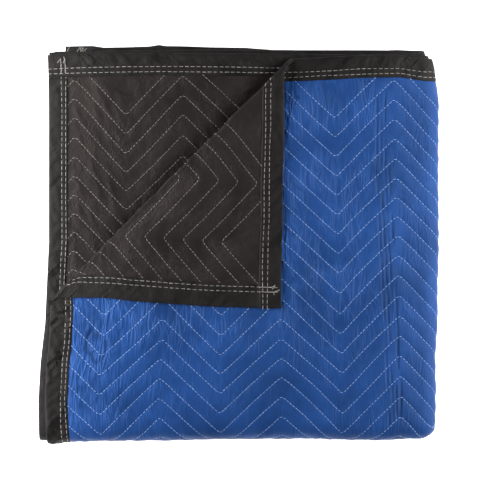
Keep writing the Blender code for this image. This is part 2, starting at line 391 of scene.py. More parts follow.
@dataclass
class FoldedPack:
    """The whole way from the flat blanket to the pack."""

    folds: tuple[Fold, ...] = (
        Fold(Axis.ACROSS, 1.0152, 1),
        Fold(Axis.ALONG, 1.0135, 2),
        Fold(Axis.ACROSS, PACK_WIDTH, 4, squareness=2.15),
        Fold(Axis.ALONG, PACK_LENGTH, 8, squareness=3.0),
    )
    left: Course = Course(  # how far each edge lies outside its straight line, at places along it
        places=(0.300, 0.328, 0.367, 0.395, 0.440, 0.465, 0.490, 0.590, 1.585, LENGTH),
        values=(0, -0.0011, 0.0006, 0.0041, 0.0068, 0.0060, 0.0046, 0, 0, -0.020))
    right: Course = Course(
        places=(0, 0.020, 0.070, 0.240, 0.345, 0.395, 0.440, 0.590, 0.760),
        values=(0.0018, 0.0008, 0, 0, 0.005, 0.0112, 0.0141, 0.0135, 0))
    top: Course = Course(
        places=(0.230, 0.260, 0.290, 0.325, 0.370, 0.403, 0.455, PACK_WIDTH,
                1.552, 1.800, 1.895, 1.990, WIDTH),
        values=(0, -0.0013, -0.0024, -0.0016, 0.0004, 0.0026, 0.0035, -0.0010,
                0.0030, 0.0048, 0.0056, 0.0041, 0.0030))
    bottom: Course = Course(
        places=(0, 0.034, 0.049, 0.080, 0.113, 0.127, 0.136, 0.158, 0.205, 0.252,
                0.283, 0.299, 0.345, 0.384, 0.424, 0.455, 0.470, 0.550, WIDTH - 0.200, WIDTH),
        values=(0.0050, 0.0054, 0.0031, 0.0035, 0.0045, 0.0066, 0.0051, 0.0049, 0.0034, 0.0028,
                0.0007, -0.0011, -0.0016, -0.0027, -0.0008, 0.0005, 0, -0.0020, 0, -0.0030))
    stray_start: float = 0.030  # an edge's stray is whole up to here
    stray_fade: float = 0.300  # and has died out this far in
    roll: CornerRoll = field(default_factory=CornerRoll)
    slump: Slump = field(default_factory=Slump)
    skew_start: float = 0.300
    side_skew: Span = (0.0015, -0.0030)  # shift of the side fold at its top and bottom
    end_skew: Span = (0.0040, -0.0010)  # shift of the end fold at its left and right
    side_bulge: Course = Course(  # how far the side fold stands out, at places down the pack
        places=(-0.015, 0, 0.016, 0.032, 0.063, 0.157, 0.250,
                0.297, 0.344, 0.390, 0.437, 0.484, 0.498),
        values=(-0.0082, -0.0062, -0.0020, -0.0002, 0.0026, 0.0030, 0.0045,
                0.0034, 0.0039, 0.0015, 0.0030, 0.0024, -0.001))
    end_bulge: Course = Course(  # and the end fold, at places across the pack
        places=(0.003, 0.034, 0.065, 0.112, 0.174, 0.221, 0.268, 0.330, 0.392, 0.439, 0.470, 0.486),
        values=(0.0044, 0.0023, 0.0015, 0.0015, 0.0011, 0.0006,
                0.0010, 0.0006, 0.0035, 0.0042, 0.0030, 0.0036))
    side_bulging: Span = (PACK_WIDTH - 0.080, PACK_WIDTH + 0.010)  # where those set in
    end_bulging: Span = (PACK_LENGTH - 0.080, PACK_LENGTH + 0.020)
    probe: float = 1e-4  # how far out of the cloth its direction is felt
    origin: Array = field(default_factory=lambda: np.zeros(3))

    def top_height(self) -> float:
        """Give the height of the top layer's upper face before the pack slumps."""
        return stack_height(2 * self.folds[-1].layers)

    def settle_on(self, node: str) -> None:
        """Move the pack's origin to the frame's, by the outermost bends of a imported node.

        Args:
            node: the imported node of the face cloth.
        """
        side_bend = PACK_WIDTH + self.folds[2].arc() / 2
        end_bend = PACK_LENGTH + self.folds[3].arc() / 2
        spots = [(side_bend, self.stray_start, THICKNESS), (self.stray_start, end_bend, THICKNESS)]
        mapped = self.turn(np.array(spots))
        x = mapped[0, 0] - self.side_bulge.at(mapped[0, 1])
        y = mapped[1, 1] - self.end_bulge.at(mapped[1, 0])
        low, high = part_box(node)
        self.origin = np.array((high.x - x, low.y + y, 0.0))

    def _stray(self, points: Array) -> None:
        """Move the flat blanket's edges off their straight lines.

        Args:
            points: an array of u, v, w rows, changed in place.
        """
        u, v = points[:, 0].copy(), points[:, 1].copy()
        reach = (self.stray_start, self.stray_fade)
        points[:, 0] += self.right.at(v) * (1 - ease(WIDTH - u, *reach))
        points[:, 0] -= self.left.at(v) * (1 - ease(u, *reach))
        points[:, 1] += self.bottom.at(u) * (1 - ease(LENGTH - v, *reach))
        points[:, 1] -= self.top.at(u) * (1 - ease(v, *reach))

    def _skew(self, points: Array) -> None:
        """Move the pack's side and end folds off their straight lines.

        Args:
            points: an array of x, y, z rows, changed in place.
        """
        across, down = points[:, 0] / PACK_WIDTH, points[:, 1] / PACK_LENGTH
        side = self.side_skew[0] + (self.side_skew[1] - self.side_skew[0]) * down
        end = self.end_skew[0] + (self.end_skew[1] - self.end_skew[0]) * across
        side *= ease(points[:, 0], self.skew_start, PACK_WIDTH)
        end *= ease(points[:, 1], self.skew_start, PACK_LENGTH)
        side += self.side_bulge.at(points[:, 1]) * ease(points[:, 0], *self.side_bulging)
        end += self.end_bulge.at(points[:, 0]) * ease(points[:, 1], *self.end_bulging)
        points[:, 0] += side
        points[:, 1] += end

    def turn(self, flat: Array) -> Array:
        """Fold flat points, in the pack's own coordinates: x to the right, y down, z up.

        Args:
            flat: an array of u, v, w rows.

        Returns:
            The folded points, before the pack slumps.
        """
        points = np.array(flat, dtype=float)
        self._stray(points)
        corner = self.roll.holds(points)
        for fold in self.folds:
            fold.turn_under(points)
        points[corner] = self.roll.turn_back(points[corner], self.top_height())
        self.roll.press(points, self.top_height())
        self._skew(points)
        return points

    def place(self, flat: Array) -> Array:
        """Take flat points to their places in the frame.

        Args:
            flat: an array of u, v, w rows.

        Returns:
            An array of x, y, z rows.
        """
        points = self.turn(flat)
        points[:, 2] *= self.slump.share(points[:, 0], points[:, 1])
        points[:, 1] *= -1
        return points + self.origin

    def place_with_up(self, flat: Array, side: Side) -> tuple[Array, Array]:
        """Place flat points, and find which way is out of the cloth at each.

        Args:
            flat: an array of u, v, w rows.
            side: the side of the blanket that the points lie on.

        Returns:
            The places, and a unit vector out of that side for each.
        """
        places = self.place(flat)
        out = self.place(flat + np.array((0, 0, self.probe * side.value))) - places
        return places, out / np.linalg.norm(out, axis=1, keepdims=True)


@dataclass(frozen=True)
class Quilting:
    """The chevron rows that hold the layers together, and how the sewn cloth pulls them about.

    The pulls across the blanket go to the right, and those along it go down.
    """

    half_chevron: float = 0.0762  # from a valley to the next peak, across the blanket
    swing: float = 0.0735  # how far the peaks lie above the valleys
    first_valley: float = 0.0720
    first_row: float = 0.0792  # height of the first row at its valleys
    apex_round: float = 0.0020  # how wide the turns are rounded
    crown_power: float = 0.75  # less than 1 swells steeply beside a row, and is flatter between
    settle_rounds: int = 14  # enough to close in on a flat place
    crest: Band = Band((0.199, 0.226), (0.226, 0.244))  # slantwise, at the turned-back corner's crest
    crest_across: float = -0.0020
    crest_along: float = 0.0090
    corner_across: float = 0.0117  # on the turned-back corner
    corner_fade: Span = (0.210, 0.242)
    left_across: float = -0.0025  # on the left of the top layer
    right_across: Course = Course((0.080, 0.430), (-0.0070, 0.0045))  # and on its right, down the blanket
    right_band: Band = Band((0.25, 0.36), (0.60, 1.20))
    shoulder_across: float = -0.0036  # and more by the side fold
    shoulder_band: Band = Band((0.455, 0.505), (0.60, 1.20))
    under_across: Course = Course(  # towards the layer that shows under the corner
        places=(0.600, 1.867, 1.939, 2.006, 2.040),
        values=(0, 0.0430, 0.0410, 0.0313, 0.0270))
    low_along: Course = Course(  # on the lower part of the top layer
        places=(0.28, 0.35, 0.385, 0.425),
        values=(0, 0.0032, 0.0030, 0.0013))
    low_fade: Span = (0.455, 0.500)  # down the blanket
    low_side_fade: Span = (0.60, 1.00)  # across it
    right_along: float = -0.0032  # on the right of the top layer
    right_start: Span = (0.36, 0.40)
    right_middle: Band = Band((0.12, 0.24), (0.37, 0.43))
    under_along: Course = Course((1.867, 1.939, 2.006), (0.0016, 0.0099, 0.0061))  # on the layer underneath
    under_tilt: Course = Course((1.867, 1.939, 2.006), (-0.028, -0.081, -0.0636))  # for each metre down it
    under_top: float = -0.0040  # and beside its top tape
    under_top_fade: Span = (0.05, 0.15)
    under_start: Span = (1.50, 1.85)
    under_fade: Span = (0.30, 0.60)

    def chevron(self, s: Array) -> Array:
        """Give how far a row lies below the line of its valleys.

        Args:
            s: places across the blanket, in pattern coordinates.

        Returns:
            0 at the valleys, and less than 0 up to the peaks.
        """
        half, turn = self.half_chevron, self.apex_round
        out = np.abs((s - self.first_valley + half) % (2 * half) - half)
        level = math.hypot(half / 2, turn) - half / 2
        lower, upper = np.hypot(out, turn) - level, half - np.hypot(half - out, turn) + level
        return -self.swing * np.where(out < half / 2, lower, upper) / half

    def pulls(self, u: Array, v: Array) -> tuple[Array, Array]:
        """Give how far the pattern is pulled about.

        Args:
            u: flat places across the blanket.
            v: flat places down it.

        Returns:
            The pulls across the blanket and along it at each place.
        """
        out = slantwise(u, v)
        across = self.corner_across * (1 - ease(out, *self.corner_fade))
        across += self.crest_across * self.crest.at(out)
        across += self.left_across + (self.right_across.at(v) - self.left_across) * self.right_band.at(u)
        across += self.shoulder_across * self.shoulder_band.at(u) + self.under_across.at(u)
        along = self.low_along.at(v)
        along += self.right_along * ease(u, *self.right_start) * self.right_middle.at(v)
        along *= (1 - ease(v, *self.low_fade)) * (1 - ease(u, *self.low_side_fade))
        under = self.under_along.at(u) + self.under_tilt.at(u) * v
        under += self.under_top * (1 - ease(v, *self.under_top_fade))
        under *= ease(u, *self.under_start) * (1 - ease(v, *self.under_fade))
        return across, along + self.crest_along * self.crest.at(out) + under

    def from_flat(self, flat: Array) -> Array:
        """Take flat places to the pattern's own coordinates.

        Args:
            flat: an array of u, v rows.

        Returns:
            Rows of s, across, and q, which is the same all along a sewn row.
        """
        across, along = self.pulls(flat[:, 0], flat[:, 1])
        s = flat[:, 0] - across
        return np.stack([s, flat[:, 1] - along - self.chevron(s)], axis=1)

    def to_flat(self, pattern: Array) -> Array:
        """Take the pattern's coordinates back to flat places, closing in on them from the straight pattern.

        Args:
            pattern: an array of s, q rows.

        Returns:
            The u, v rows.
        """
        s, q = pattern[:, 0], pattern[:, 1]
        t = q + self.chevron(s)
        u, v = s.copy(), t.copy()
        for _ in range(self.settle_rounds):
            across, along = self.pulls(u, v)
            u, v = (u + s + across) / 2, (v + t + along) / 2
        return np.stack([u, v], axis=1)

    def crown(self, pattern: Array) -> Array:
        """Give how far the cloth has risen between two rows.

        Args:
            pattern: an array of s, q rows.

        Returns:
            0 on a sewn row, and 1 midway between two or above the first.
        """
        rows = (pattern[:, 1] - self.first_row) / ROW_PITCH
        share = np.where(rows < -0.5, 0.5, rows % 1)
        return (4 * share * (1 - share)) ** self.crown_power


@dataclass(frozen=True)
class TapeShape:
    """The shape that all the folded tapes share."""

    out: float = 0.0015  # the fold's reach outside the quilt's edge
    shoulder: float = 0.00165  # half the fold's height
    wall: float = 0.0005
    least_inside: float = 0.0002  # half the height inside the fold where it is pressed flat
    nip: float = 0.00100  # half the height on a row of stitches
    nip_give: float = 0.0003  # how much further a crease may press it
    section: tuple[tuple[Mark, tuple[Span, ...]], ...] = (  # how far inside a mark, and half the height
        (Mark.EDGE, ((-0.0015, 0.0), (-0.0012, 0.00075), (-0.0006, 0.00125), (0.0010, 0.00165),
                     (0.0032, 0.00185), (0.0056, 0.00185), (0.0080, 0.00185), (0.0104, 0.00180))),
        (Mark.FIRST_ROW, ((-0.0048, 0.00175), (-0.0020, 0.00145), (0.0, 0.00100), (0.0015, 0.00125))),
        (Mark.BETWEEN_ROWS, ((0.0, 0.00135),)),
        (Mark.SECOND_ROW, ((-0.0015, 0.00125), (0.0, 0.00100), (0.0013, 0.00120))),
        (Mark.PAST_ROWS, ((0.0, 0.00125),)),
        (Mark.INNER_EDGE, ((0.0, 0.00090),)),
    )
    pinch_length: float = 0.004  # the open ends are pressed shut over this length
    pinched: float = 0.4  # share of its height that is left at the very end
    pucker: float = 0.00062  # height of the soft puckers
    pucker_start: Span = (-0.001, 0.004)  # insets where they set in
    fine_pucker: Lattice = Lattice((0.0064, 0.0080), (-0.030, 0.030))
    fine_strength: float = 1.8
    fine_middle: float = 0.5  # what the fine puckers are measured from
    broad_pucker: Lattice = Lattice((0.0105, -0.010), (NEVER, 0.009))
    face_shift: float = 40.0  # lattice steps that set the two sides' puckers apart
    back_shift: float = 80.0
    sewn_slack: float = 0.7  # how strongly it puckers from the first row of stitches inward
    slack_fade: float = 0.004  # the outer part's own slack dies out this far before that row
    crease: float = 0.00085  # depth of the sharp creases that run out from the stitches
    crease_start: Span = (-0.002, 0.003)
    crease_lines: Lattice = Lattice((0.0150, 0.016), (0.110, 0.050), start=(25.0, 0.0))
    crease_half: float = 0.26  # half a crease's width, in values of that noise
    crease_places: Lattice = Lattice((0.030, NEVER), (NEVER, 0.040), start=(60.0, 9.0))
    crease_fade: Span = (-0.55, 0.15)

    def insets(self, rows: Span, cover: float) -> tuple[float, ...]:
        """Give the insets that the section is drawn at, from the fold to the inner edge.

        Args:
            rows: insets of the two rows of stitches.
            cover: inset of the inner edge.

        Returns:
            One inset for each point of the section.
        """
        first, second = rows
        marks = {Mark.EDGE: 0.0, Mark.FIRST_ROW: first, Mark.BETWEEN_ROWS: (first + second) / 2,
                 Mark.SECOND_ROW: second, Mark.PAST_ROWS: (second + cover) / 2, Mark.INNER_EDGE: cover}
        return tuple(marks[mark] + inside for mark, points in self.section for inside, _ in points)

    def level(self, inset: Array, rows: Span, cover: float) -> Array:
        """Give half the tape's height before it puckers, at insets from the quilt's edge."""
        heights = [height for _, points in self.section for _, height in points]
        return np.interp(inset, self.insets(rows, cover), heights)


TAPE = TapeShape()


@dataclass(frozen=True)
class Edge:
    """One bound edge of the flat blanket: where its tape starts and ends, and which way is out."""

    name: str
    start: Span
    end: Span
    outward: Span
    rows: Span  # insets of the two rows of stitches
    back_cover: float  # how far the tape reaches over the backing
    seed: int
    slack: Course = Course((0.0,), (1.0,))  # how strongly the tape's outer part puckers, along it
    curl: Course = Course((0.0,), (0.0,))  # how far its fold stands up, along it
    face_cover: float = 0.0285

    def run(self) -> float:
        """Give the tape's length."""
        return math.dist(self.start, self.end)

    def direction(self) -> Array:
        """Give the unit vector along the tape."""
        return (np.array(self.end) - np.array(self.start)) / self.run()

    def axis(self) -> Axis:
        """Give the direction that the tape runs in."""
        return Axis.ALONG if self.outward[0] else Axis.ACROSS

    def faces_right(self) -> bool:
        """Say whether out lies to the right of the tape's direction, seen with v going down."""
        across, along = self.direction()
        return bool(across * self.outward[1] - along * self.outward[0] > 0)

    def cover(self, side: Side) -> float:
        """Give how far the tape reaches over the quilt on one side."""
        return self.face_cover if side is Side.FACE else self.back_cover

    def flat(self, along: Array, inset: Array) -> Array:
        """Give the flat u, v rows at distances along the tape and inward from the quilt's edge."""
        return np.array(self.start) + np.outer(along, self.direction()) - np.outer(inset, self.outward)

    def split(self, flat: Array) -> tuple[Array, Array]:
        """Give the distances along the tape and inward from its edge of flat u, v rows."""
        offset = flat[:, :2] - np.array(self.start)
        return offset @ self.direction(), -offset @ np.array(self.outward)

    def height(self, inset: Array, along: Array, side: Side, noise: SmoothNoise) -> Array:
        """Give half the tape's height, puckered between its rows of stitches.

        Args:
            inset: distances from the quilt's edge, less than 0 outside it.
            along: distances along the tape from its start.
            side: the side of the blanket.
            noise: the tape's puckers.

        Returns:
            The height of the tape's outer face above the middle of the quilt.
        """
        shift = TAPE.face_shift if side is Side.FACE else TAPE.back_shift
        fine = np.abs(TAPE.fine_pucker.read(noise, along, inset, (0.0, shift)))
        broad = TAPE.broad_pucker.read(noise, along, inset, (0.0, shift / 2))
        pucker = TAPE.fine_strength * fine - TAPE.fine_middle + broad
        outer = 1 - ease(inset, self.rows[0] - TAPE.slack_fade, self.rows[0])
        slack = TAPE.sewn_slack + (self.slack.at(along) - TAPE.sewn_slack) * outer
        level = TAPE.level(inset, self.rows, self.cover(side))
        level += TAPE.pucker * pucker * slack * ease(inset, *TAPE.pucker_start)
        level -= TAPE.crease * self.creased(inset, along, noise) * slack * ease(inset, *TAPE.crease_start)
        pinch = ease(np.minimum(along, self.run() - along), 0, TAPE.pinch_length)
        lowest = np.where(inset > 0, TAPE.nip - TAPE.nip_give, 0.0)
        return np.maximum(level, lowest) * (TAPE.pinched + (1 - TAPE.pinched) * pinch)

    def creased(self, inset: Array, along: Array, noise: SmoothNoise) -> Array:
        """Give how deep the tape's sharp creases are at places in and along it, from 0 to 1."""
        lines = sharp_line(TAPE.crease_lines.read(noise, along, inset), TAPE.crease_half)
        return lines * ease(TAPE.crease_places.read(noise, along, inset), *TAPE.crease_fade)


BUTT = 0.0288  # the side tapes end under the top and bottom tapes' inner edges
EDGES = (
    Edge("binding_top", (-TAPE.out, 0), (WIDTH + TAPE.out, 0), outward=(0, -1),
         rows=(0.0168, 0.0232), back_cover=0.0280, seed=11,
         slack=Course((0.28, 0.31, 0.47, 0.50, 1.55, 1.60), (1.2, 1.6, 1.6, 1.0, 1.0, 1.4))),
    Edge("binding_bottom", (-TAPE.out, LENGTH), (WIDTH + TAPE.out, LENGTH), outward=(0, 1),
         rows=(0.0170, 0.0235), back_cover=0.0270, seed=12),
    Edge("binding_left", (0, BUTT), (0, LENGTH - BUTT), outward=(-1, 0),
         rows=(0.0190, 0.0252), back_cover=0.0290, seed=13,
         slack=Course((0.25, 0.28, 0.36, 0.42, 0.48), (1.1, 3.0, 2.8, 2.0, 1.2)),
         curl=Course((0.25, 0.29, 0.43, 0.48), (0.0, 0.0022, 0.0022, 0.0))),
    Edge("binding_right", (WIDTH, BUTT), (WIDTH, LENGTH - BUTT), outward=(1, 0),
         rows=(0.0157, 0.0209), back_cover=0.0235, seed=14,
         slack=Course((0.0, 0.28, 0.34), (1.5, 1.5, 1.0))),
)


@dataclass(frozen=True)
class Smoothing:
    """Where the face is drawn smooth over the pack's shoulders."""

    side_share: float = 0.85  # of the crinkles that is gone by the side fold
    side_start: Span = (0.405, 0.430)
    end_share: float = 0.65  # and by the end fold
    end_start: Span = (0.330, 0.420)
    end_fade: Span = (0.480, 0.530)

    def at(self, u: Array, v: Array) -> Array:
        """Give the share of the crinkles that is gone.

        Args:
            u: flat places across the blanket.
            v: flat places down it.

        Returns:
            The share at each place.
        """
        by_side = self.side_share * ease(u, *self.side_start)
        by_end = self.end_share * ease(v, *self.end_start)
        return np.maximum(by_side, by_end) * (1 - ease(v, *self.end_fade))


@dataclass(frozen=True)
class Rumpling:
    """Where the face is crumpled beside its left tape and by the turned-back corner."""

    left_fade: Span = (0.060, 0.110)
    left_run: Band = Band((0.250, 0.320), (0.420, 0.500))
    corner_share: float = 0.5  # how much of it there is by the corner
    corner_side_fade: Span = (0.330, 0.380)
    corner_fade: Span = (0.300, 0.340)
    crease_lines: Lattice = Lattice((0.020, 0.050), (-0.050, 0.060), start=(11.0, 33.0))
    crease_half: float = 0.13  # half a crease's width, in values of that noise

    def at(self, u: Array, v: Array) -> Array:
        """Give how crumpled the face is.

        Args:
            u: flat places across the blanket.
            v: flat places down it.

        Returns:
            From 0 to 1 at each place.
        """
        left = (1 - ease(u, *self.left_fade)) * self.left_run.at(v)
        corner = self.corner_share * (1 - ease(u, *self.corner_side_fade)) * (1 - ease(v, *self.corner_fade))
        return np.maximum(left, corner)

    def creased(self, u: Array, v: Array, noise: SmoothNoise) -> Array:
        """Give how deep the sharp slanting creases are at flat places, from 0 to 1."""
        return sharp_line(self.crease_lines.read(noise, u, v), self.crease_half) * self.at(u, v)


@dataclass(frozen=True)
class PackingCreases:
    """Old creases down the right of the face's top layer, one beside another."""

    count: int = 4
    first: float = 0.4240  # u of the first of them at its top
    spacing: float = 0.0052
    lean: float = 0.060  # how far to the right they go for each metre down
    lean_start: float = 0.15
    half_width: float = 0.0019
    breaks: Lattice = Lattice((NEVER, 0.032), (NEVER, NEVER), start=(0.0, 3.5))
    break_shift: float = 9.0  # lattice steps that set each crease's breaks apart
    break_fade: Span = (-0.4, 0.4)
    run: Band = Band((0.040, 0.070), (0.460, 0.490))

    def at(self, u: Array, v: Array, noise: SmoothNoise) -> Array:
        """Give how deep they are.

        Args:
            u: flat places across the blanket.
            v: flat places down it.
            noise: what breaks them up.

        Returns:
            The depth at each place, from 0 to 1.
        """
        depth = np.zeros(len(u))
        for number in range(self.count):
            line = self.first + self.spacing * number + self.lean * np.maximum(v - self.lean_start, 0)
            breaks = self.breaks.read(noise, u, v, (self.break_shift * number, 0.0))
            strength = ease(breaks, *self.break_fade) * sharp_line(u - line, self.half_width)
            depth = np.maximum(depth, strength)
        return depth * self.run.at(v)


@dataclass
class BlanketSurface:
    """Heights of the finished blanket's two surfaces, cloth and tape, on the flat blanket."""

    quilting: Quilting
    smoothing: Smoothing = Smoothing()
    rumpling: Rumpling = Rumpling()
    packing: PackingCreases = PackingCreases()
    sewn_half: float = 0.0007  # half the quilt's thickness on a sewn row
    nipped_half: float = 0.00035  # and under the tape
    swell: Span = (0.0270, 0.0345)  # insets over which the quilt swells from under the tape
    puff_change: float = 0.05  # how much the fullest thickness changes from place to place
    puffs: Lattice = Lattice((0.06, NEVER), (NEVER, 0.05))
    slack: float = 0.15  # how much of a crinkle or crumple stands above the smooth cloth
    crinkle_depth: float = 0.00125
    face_crinkles: Lattice = Lattice((0.0095, NEVER), (0.09, 0.036))
    crinkle_least: float = 0.3  # where the face lies quiet
    crinkle_more: float = 0.9  # and how much more where it doesn't
    crinkle_places: Lattice = Lattice((0.085, NEVER), (NEVER, 0.11), start=(30.0, 0.0))
    crinkle_fade: Span = (-0.5, 0.6)
    back_crinkles: Lattice = Lattice((0.0150, 0.09), (NEVER, 0.0190), start=(0.0, 50.0))
    back_crinkle: float = 1.25
    crumple_depth: float = 0.00130
    crumples: Lattice = Lattice((0.0130, 0.03), (-0.05, 0.0110))
    back_crumple: float = 1.3
    smooth_crumple: float = 0.7  # share of the crumples that smooth cloth loses
    rumpled_crumple: float = 0.9  # and that rumpled cloth gains
    seam_pucker: float = 0.00045  # creases that run out square from under the tape
    seam_puckers: Lattice = Lattice((0.0085, NEVER), (NEVER, 0.040), start=(0.0, 20.0))
    seam_reach: float = 0.065
    ripple_depth: float = 0.00085  # across the rows by the top of the side fold
    ripples: Lattice = Lattice((0.030, 0.03), (NEVER, 0.0062), start=(0.0, 70.0))
    ripple_band: Band = Band((0.415, 0.450), (0.500, 0.530))
    ripple_calm: float = 0.7  # share of them that is gone further down
    ripple_fade: Span = (0.110, 0.230)
    press_depth: float = 0.00055  # of the old packing creases
    crease_depth: float = 0.00080  # of the sharp creases beside the left tape
    lie_share: float = 0.8  # how strongly rumpling and its creases count in a cloth's lie
    crinkle_seed: int = 3
    crumple_seed: int = 4
    puff_seed: int = 5

    def __post_init__(self) -> None:
        """Draw the noises."""
        self.crinkle_noise = SmoothNoise(self.crinkle_seed)
        self.crumple_noise = SmoothNoise(self.crumple_seed)
        self.puff_noise = SmoothNoise(self.puff_seed)
        self.tape_noises = {edge.name: SmoothNoise(edge.seed) for edge in EDGES}

    def crinkled(self, u: Array, v: Array, side: Side) -> Array:
        """Give how far the cloth lies below the smooth swell, for its fine crinkles and broader crumples.

        Args:
            u: flat places across the blanket.
            v: flat places down it.
            side: which cloth.

        Returns:
            The drop at each place, less than 0 on a fold.
        """
        crumple = np.abs(self.crumples.read(self.crumple_noise, u, v))
        if side is Side.BACKING:
            crinkle = self.back_crinkle * np.abs(self.back_crinkles.read(self.crinkle_noise, u, v))
            crumple *= self.back_crumple
        else:
            crinkle = np.abs(self.face_crinkles.read(self.crinkle_noise, u, v))
            places = ease(self.crinkle_places.read(self.puff_noise, u, v), *self.crinkle_fade)
            smooth, rumpled = self.smoothing.at(u, v), self.rumpling.at(u, v)
            crinkle *= (self.crinkle_least + self.crinkle_more * places) * (1 - smooth)
            crumple *= 1 - self.smooth_crumple * smooth + self.rumpled_crumple * rumpled
        return self.crinkle_depth * (crinkle - self.slack) + self.crumple_depth * (crumple - self.slack)

    def lined(self, u: Array, v: Array, crown: Array) -> Array:
        """Give how far the face is let down by its ripples, packing creases and sharp creases.

        Args:
            u: flat places across the blanket.
            v: flat places down it.
            crown: how far the cloth has risen between two rows.

        Returns:
            The drop at each place.
        """
        ripple = np.abs(self.ripples.read(self.crinkle_noise, u, v)) * self.ripple_band.at(u)
        ripple *= 1 - self.ripple_calm * ease(v, *self.ripple_fade)
        drop = self.ripple_depth * ripple * crown
        drop += self.press_depth * self.packing.at(u, v, self.puff_noise)
        return drop + self.crease_depth * self.rumpling.creased(u, v, self.crinkle_noise)

    def cloth(self, flat: Array, side: Side) -> Array:
        """Give the height of a cloth's outer face above the quilt's middle.

        Args:
            flat: an array of u, v rows.
            side: which cloth.

        Returns:
            Heights from 0 up to half the blanket's thickness.
        """
        u, v = flat[:, 0], flat[:, 1]
        crown = self.quilting.crown(self.quilting.from_flat(flat))
        puff = self.puffs.read(self.puff_noise, u, v)
        fullest = THICKNESS / 2 * (1 - self.puff_change + self.puff_change * puff)
        height = self.sewn_half + (fullest - self.sewn_half) * crown
        height -= self.crinkled(u, v, side) * crown
        for edge in EDGES:
            along, inset = edge.split(flat)
            pucker = np.abs(self.seam_puckers.read(self.crinkle_noise, along, inset, (edge.seed, 0.0)))
            fade = 1 - ease(inset, edge.cover(side), self.seam_reach)
            height -= self.seam_pucker * pucker * fade * crown
        if side is Side.FACE:
            height -= self.lined(u, v, crown)
        inset = np.minimum(np.minimum(u, WIDTH - u), np.minimum(v, LENGTH - v))
        standing = np.maximum(height, self.nipped_half) - self.nipped_half
        return self.nipped_half + standing * ease(inset, *self.swell)

    def lie(self, flat: Array, side: Side) -> Array:
        """Give how a cloth lies, which its finish reads for its relief, its crinkles and the painted shade
        in its creases.

        Args:
            flat: an array of u, v rows.
            side: which cloth.

        Returns:
            Rows of how smooth it is drawn, which is less than 0 where it is rumpled, how sharply it is
            creased, and 0.
        """
        lie = np.zeros((len(flat), 3))
        if side is Side.FACE:
            u, v = flat[:, 0], flat[:, 1]
            creased = self.rumpling.creased(u, v, self.crinkle_noise)
            lie[:, 0] = self.smoothing.at(u, v) - self.lie_share * self.rumpling.at(u, v)
            lie[:, 1] = np.maximum(self.packing.at(u, v, self.puff_noise), self.lie_share * creased)
        return lie

    def outside(self, flat: Array, side: Side) -> Array:
        """Give the height of whatever shows, tape or cloth, above the quilt's middle.

        Args:
            flat: an array of u, v rows.
            side: which side of the blanket.

        Returns:
            The height at each place.
        """
        height = self.cloth(flat, side)
        for edge in reversed(EDGES):
            along, inset = edge.split(flat)
            on_tape = (inset < edge.cover(side)) & (along > 0) & (along < edge.run())
            tape = edge.height(inset, along, side, self.tape_noises[edge.name])
            height = np.where(on_tape, tape, height)
        return height

    def lift(self, flat: Array, side: Side, above: float) -> Array:
        """Give flat u, v, w rows that lie a little above what shows on one side."""
        return np.column_stack([flat, MIDDLE + side.value * (self.outside(flat, side) + above)])


class NodeSketch:
    """A short way to write a node tree: each call adds one node and gives back its output."""

    def __init__(self, tree: bpy.types.NodeTree) -> None:
        """Start on a tree."""
        self.tree = tree

    def add(self, kind: str, inputs: dict | None = None, output: int | str = 0,
            **settings: object) -> object:
        """Add a node.

        Args:
            kind: the node's type.
            inputs: a value or another node's output for each input that is set, by name or number.
            output: which output is given back.
            settings: the node's own properties.

        Returns:
            The output socket, or the node itself where it has none.
        """
        node = self.tree.nodes.new(kind)
        for name, value in settings.items():
            setattr(node, name, value)
        for name, value in (inputs or {}).items():
            if isinstance(value, bpy.types.NodeSocket):
                self.tree.links.new(value, node.inputs[name])
            else:
                node.inputs[name].default_value = value
        return node.outputs[output] if len(node.outputs) else node

    def math(self, operation: str, *values: object) -> object:
        """Add a Math node on up to three values."""
        return self.add("ShaderNodeMath", dict(enumerate(values)), operation=operation)

    def line(self, value: object, slope: float, offset: object, clamped: bool = False) -> object:
        """Multiply a value and add to the result.

        Args:
            value: the value.
            slope: what it is multiplied by.
            offset: what is added, a number or an output.
            clamped: whether the result is kept from 0 to 1.

        Returns:
            The result's output.
        """
        result = self.math("MULTIPLY_ADD", value, slope, offset)
        result.node.use_clamp = clamped
        return result

    def stretch(self, vector: object, factors: tuple[float, ...]) -> object:
        """Multiply a vector's axes, the first by the first factor and so on, and the rest by 0."""
        padded = (*factors, 0, 0, 0)[:3]
        return self.add("ShaderNodeVectorMath", {0: vector, 1: padded}, operation="MULTIPLY")

    def scaled(self, vector: object, factor: object) -> object:
        """Multiply a vector by one factor."""
        return self.add("ShaderNodeVectorMath", {0: vector, "Scale": factor}, operation="SCALE")

    def part(self, vector: object, axis: str) -> object:
        """Take one component of a vector."""
        return self.add("ShaderNodeSeparateXYZ", {0: vector}, output=axis)

    def noise(self, vector: object, counts: tuple[float, ...], detail: float, roughness: float = 0.5,
              distortion: float = 0.0) -> object:
        """Add a noise texture.

        Args:
            vector: where it is read.
            counts: its steps in a metre of each axis, and none along an axis that is left out.
            detail: how many finer sizes it has.
            roughness: how strong the finer sizes are.
            distortion: how much it winds.

        Returns:
            The output of the noise's value.
        """
        return self.add("ShaderNodeTexNoise", {
            "Vector": self.stretch(vector, counts), "Scale": 1.0, "Detail": detail,
            "Roughness": roughness, "Distortion": distortion})

    def mix(self, share: object, first: object, second: object) -> object:
        """Mix two colours.

        Args:
            share: how much of the second there is.
            first: three numbers, or an output.
            second: three numbers, or an output.

        Returns:
            The mixed colour's output.
        """
        ends = {place: end if isinstance(end, bpy.types.NodeSocket) else (*end, 1)
                for place, end in ((6, first), (7, second))}
        return self.add("ShaderNodeMix", {"Factor": share, **ends}, output=2, data_type="RGBA")


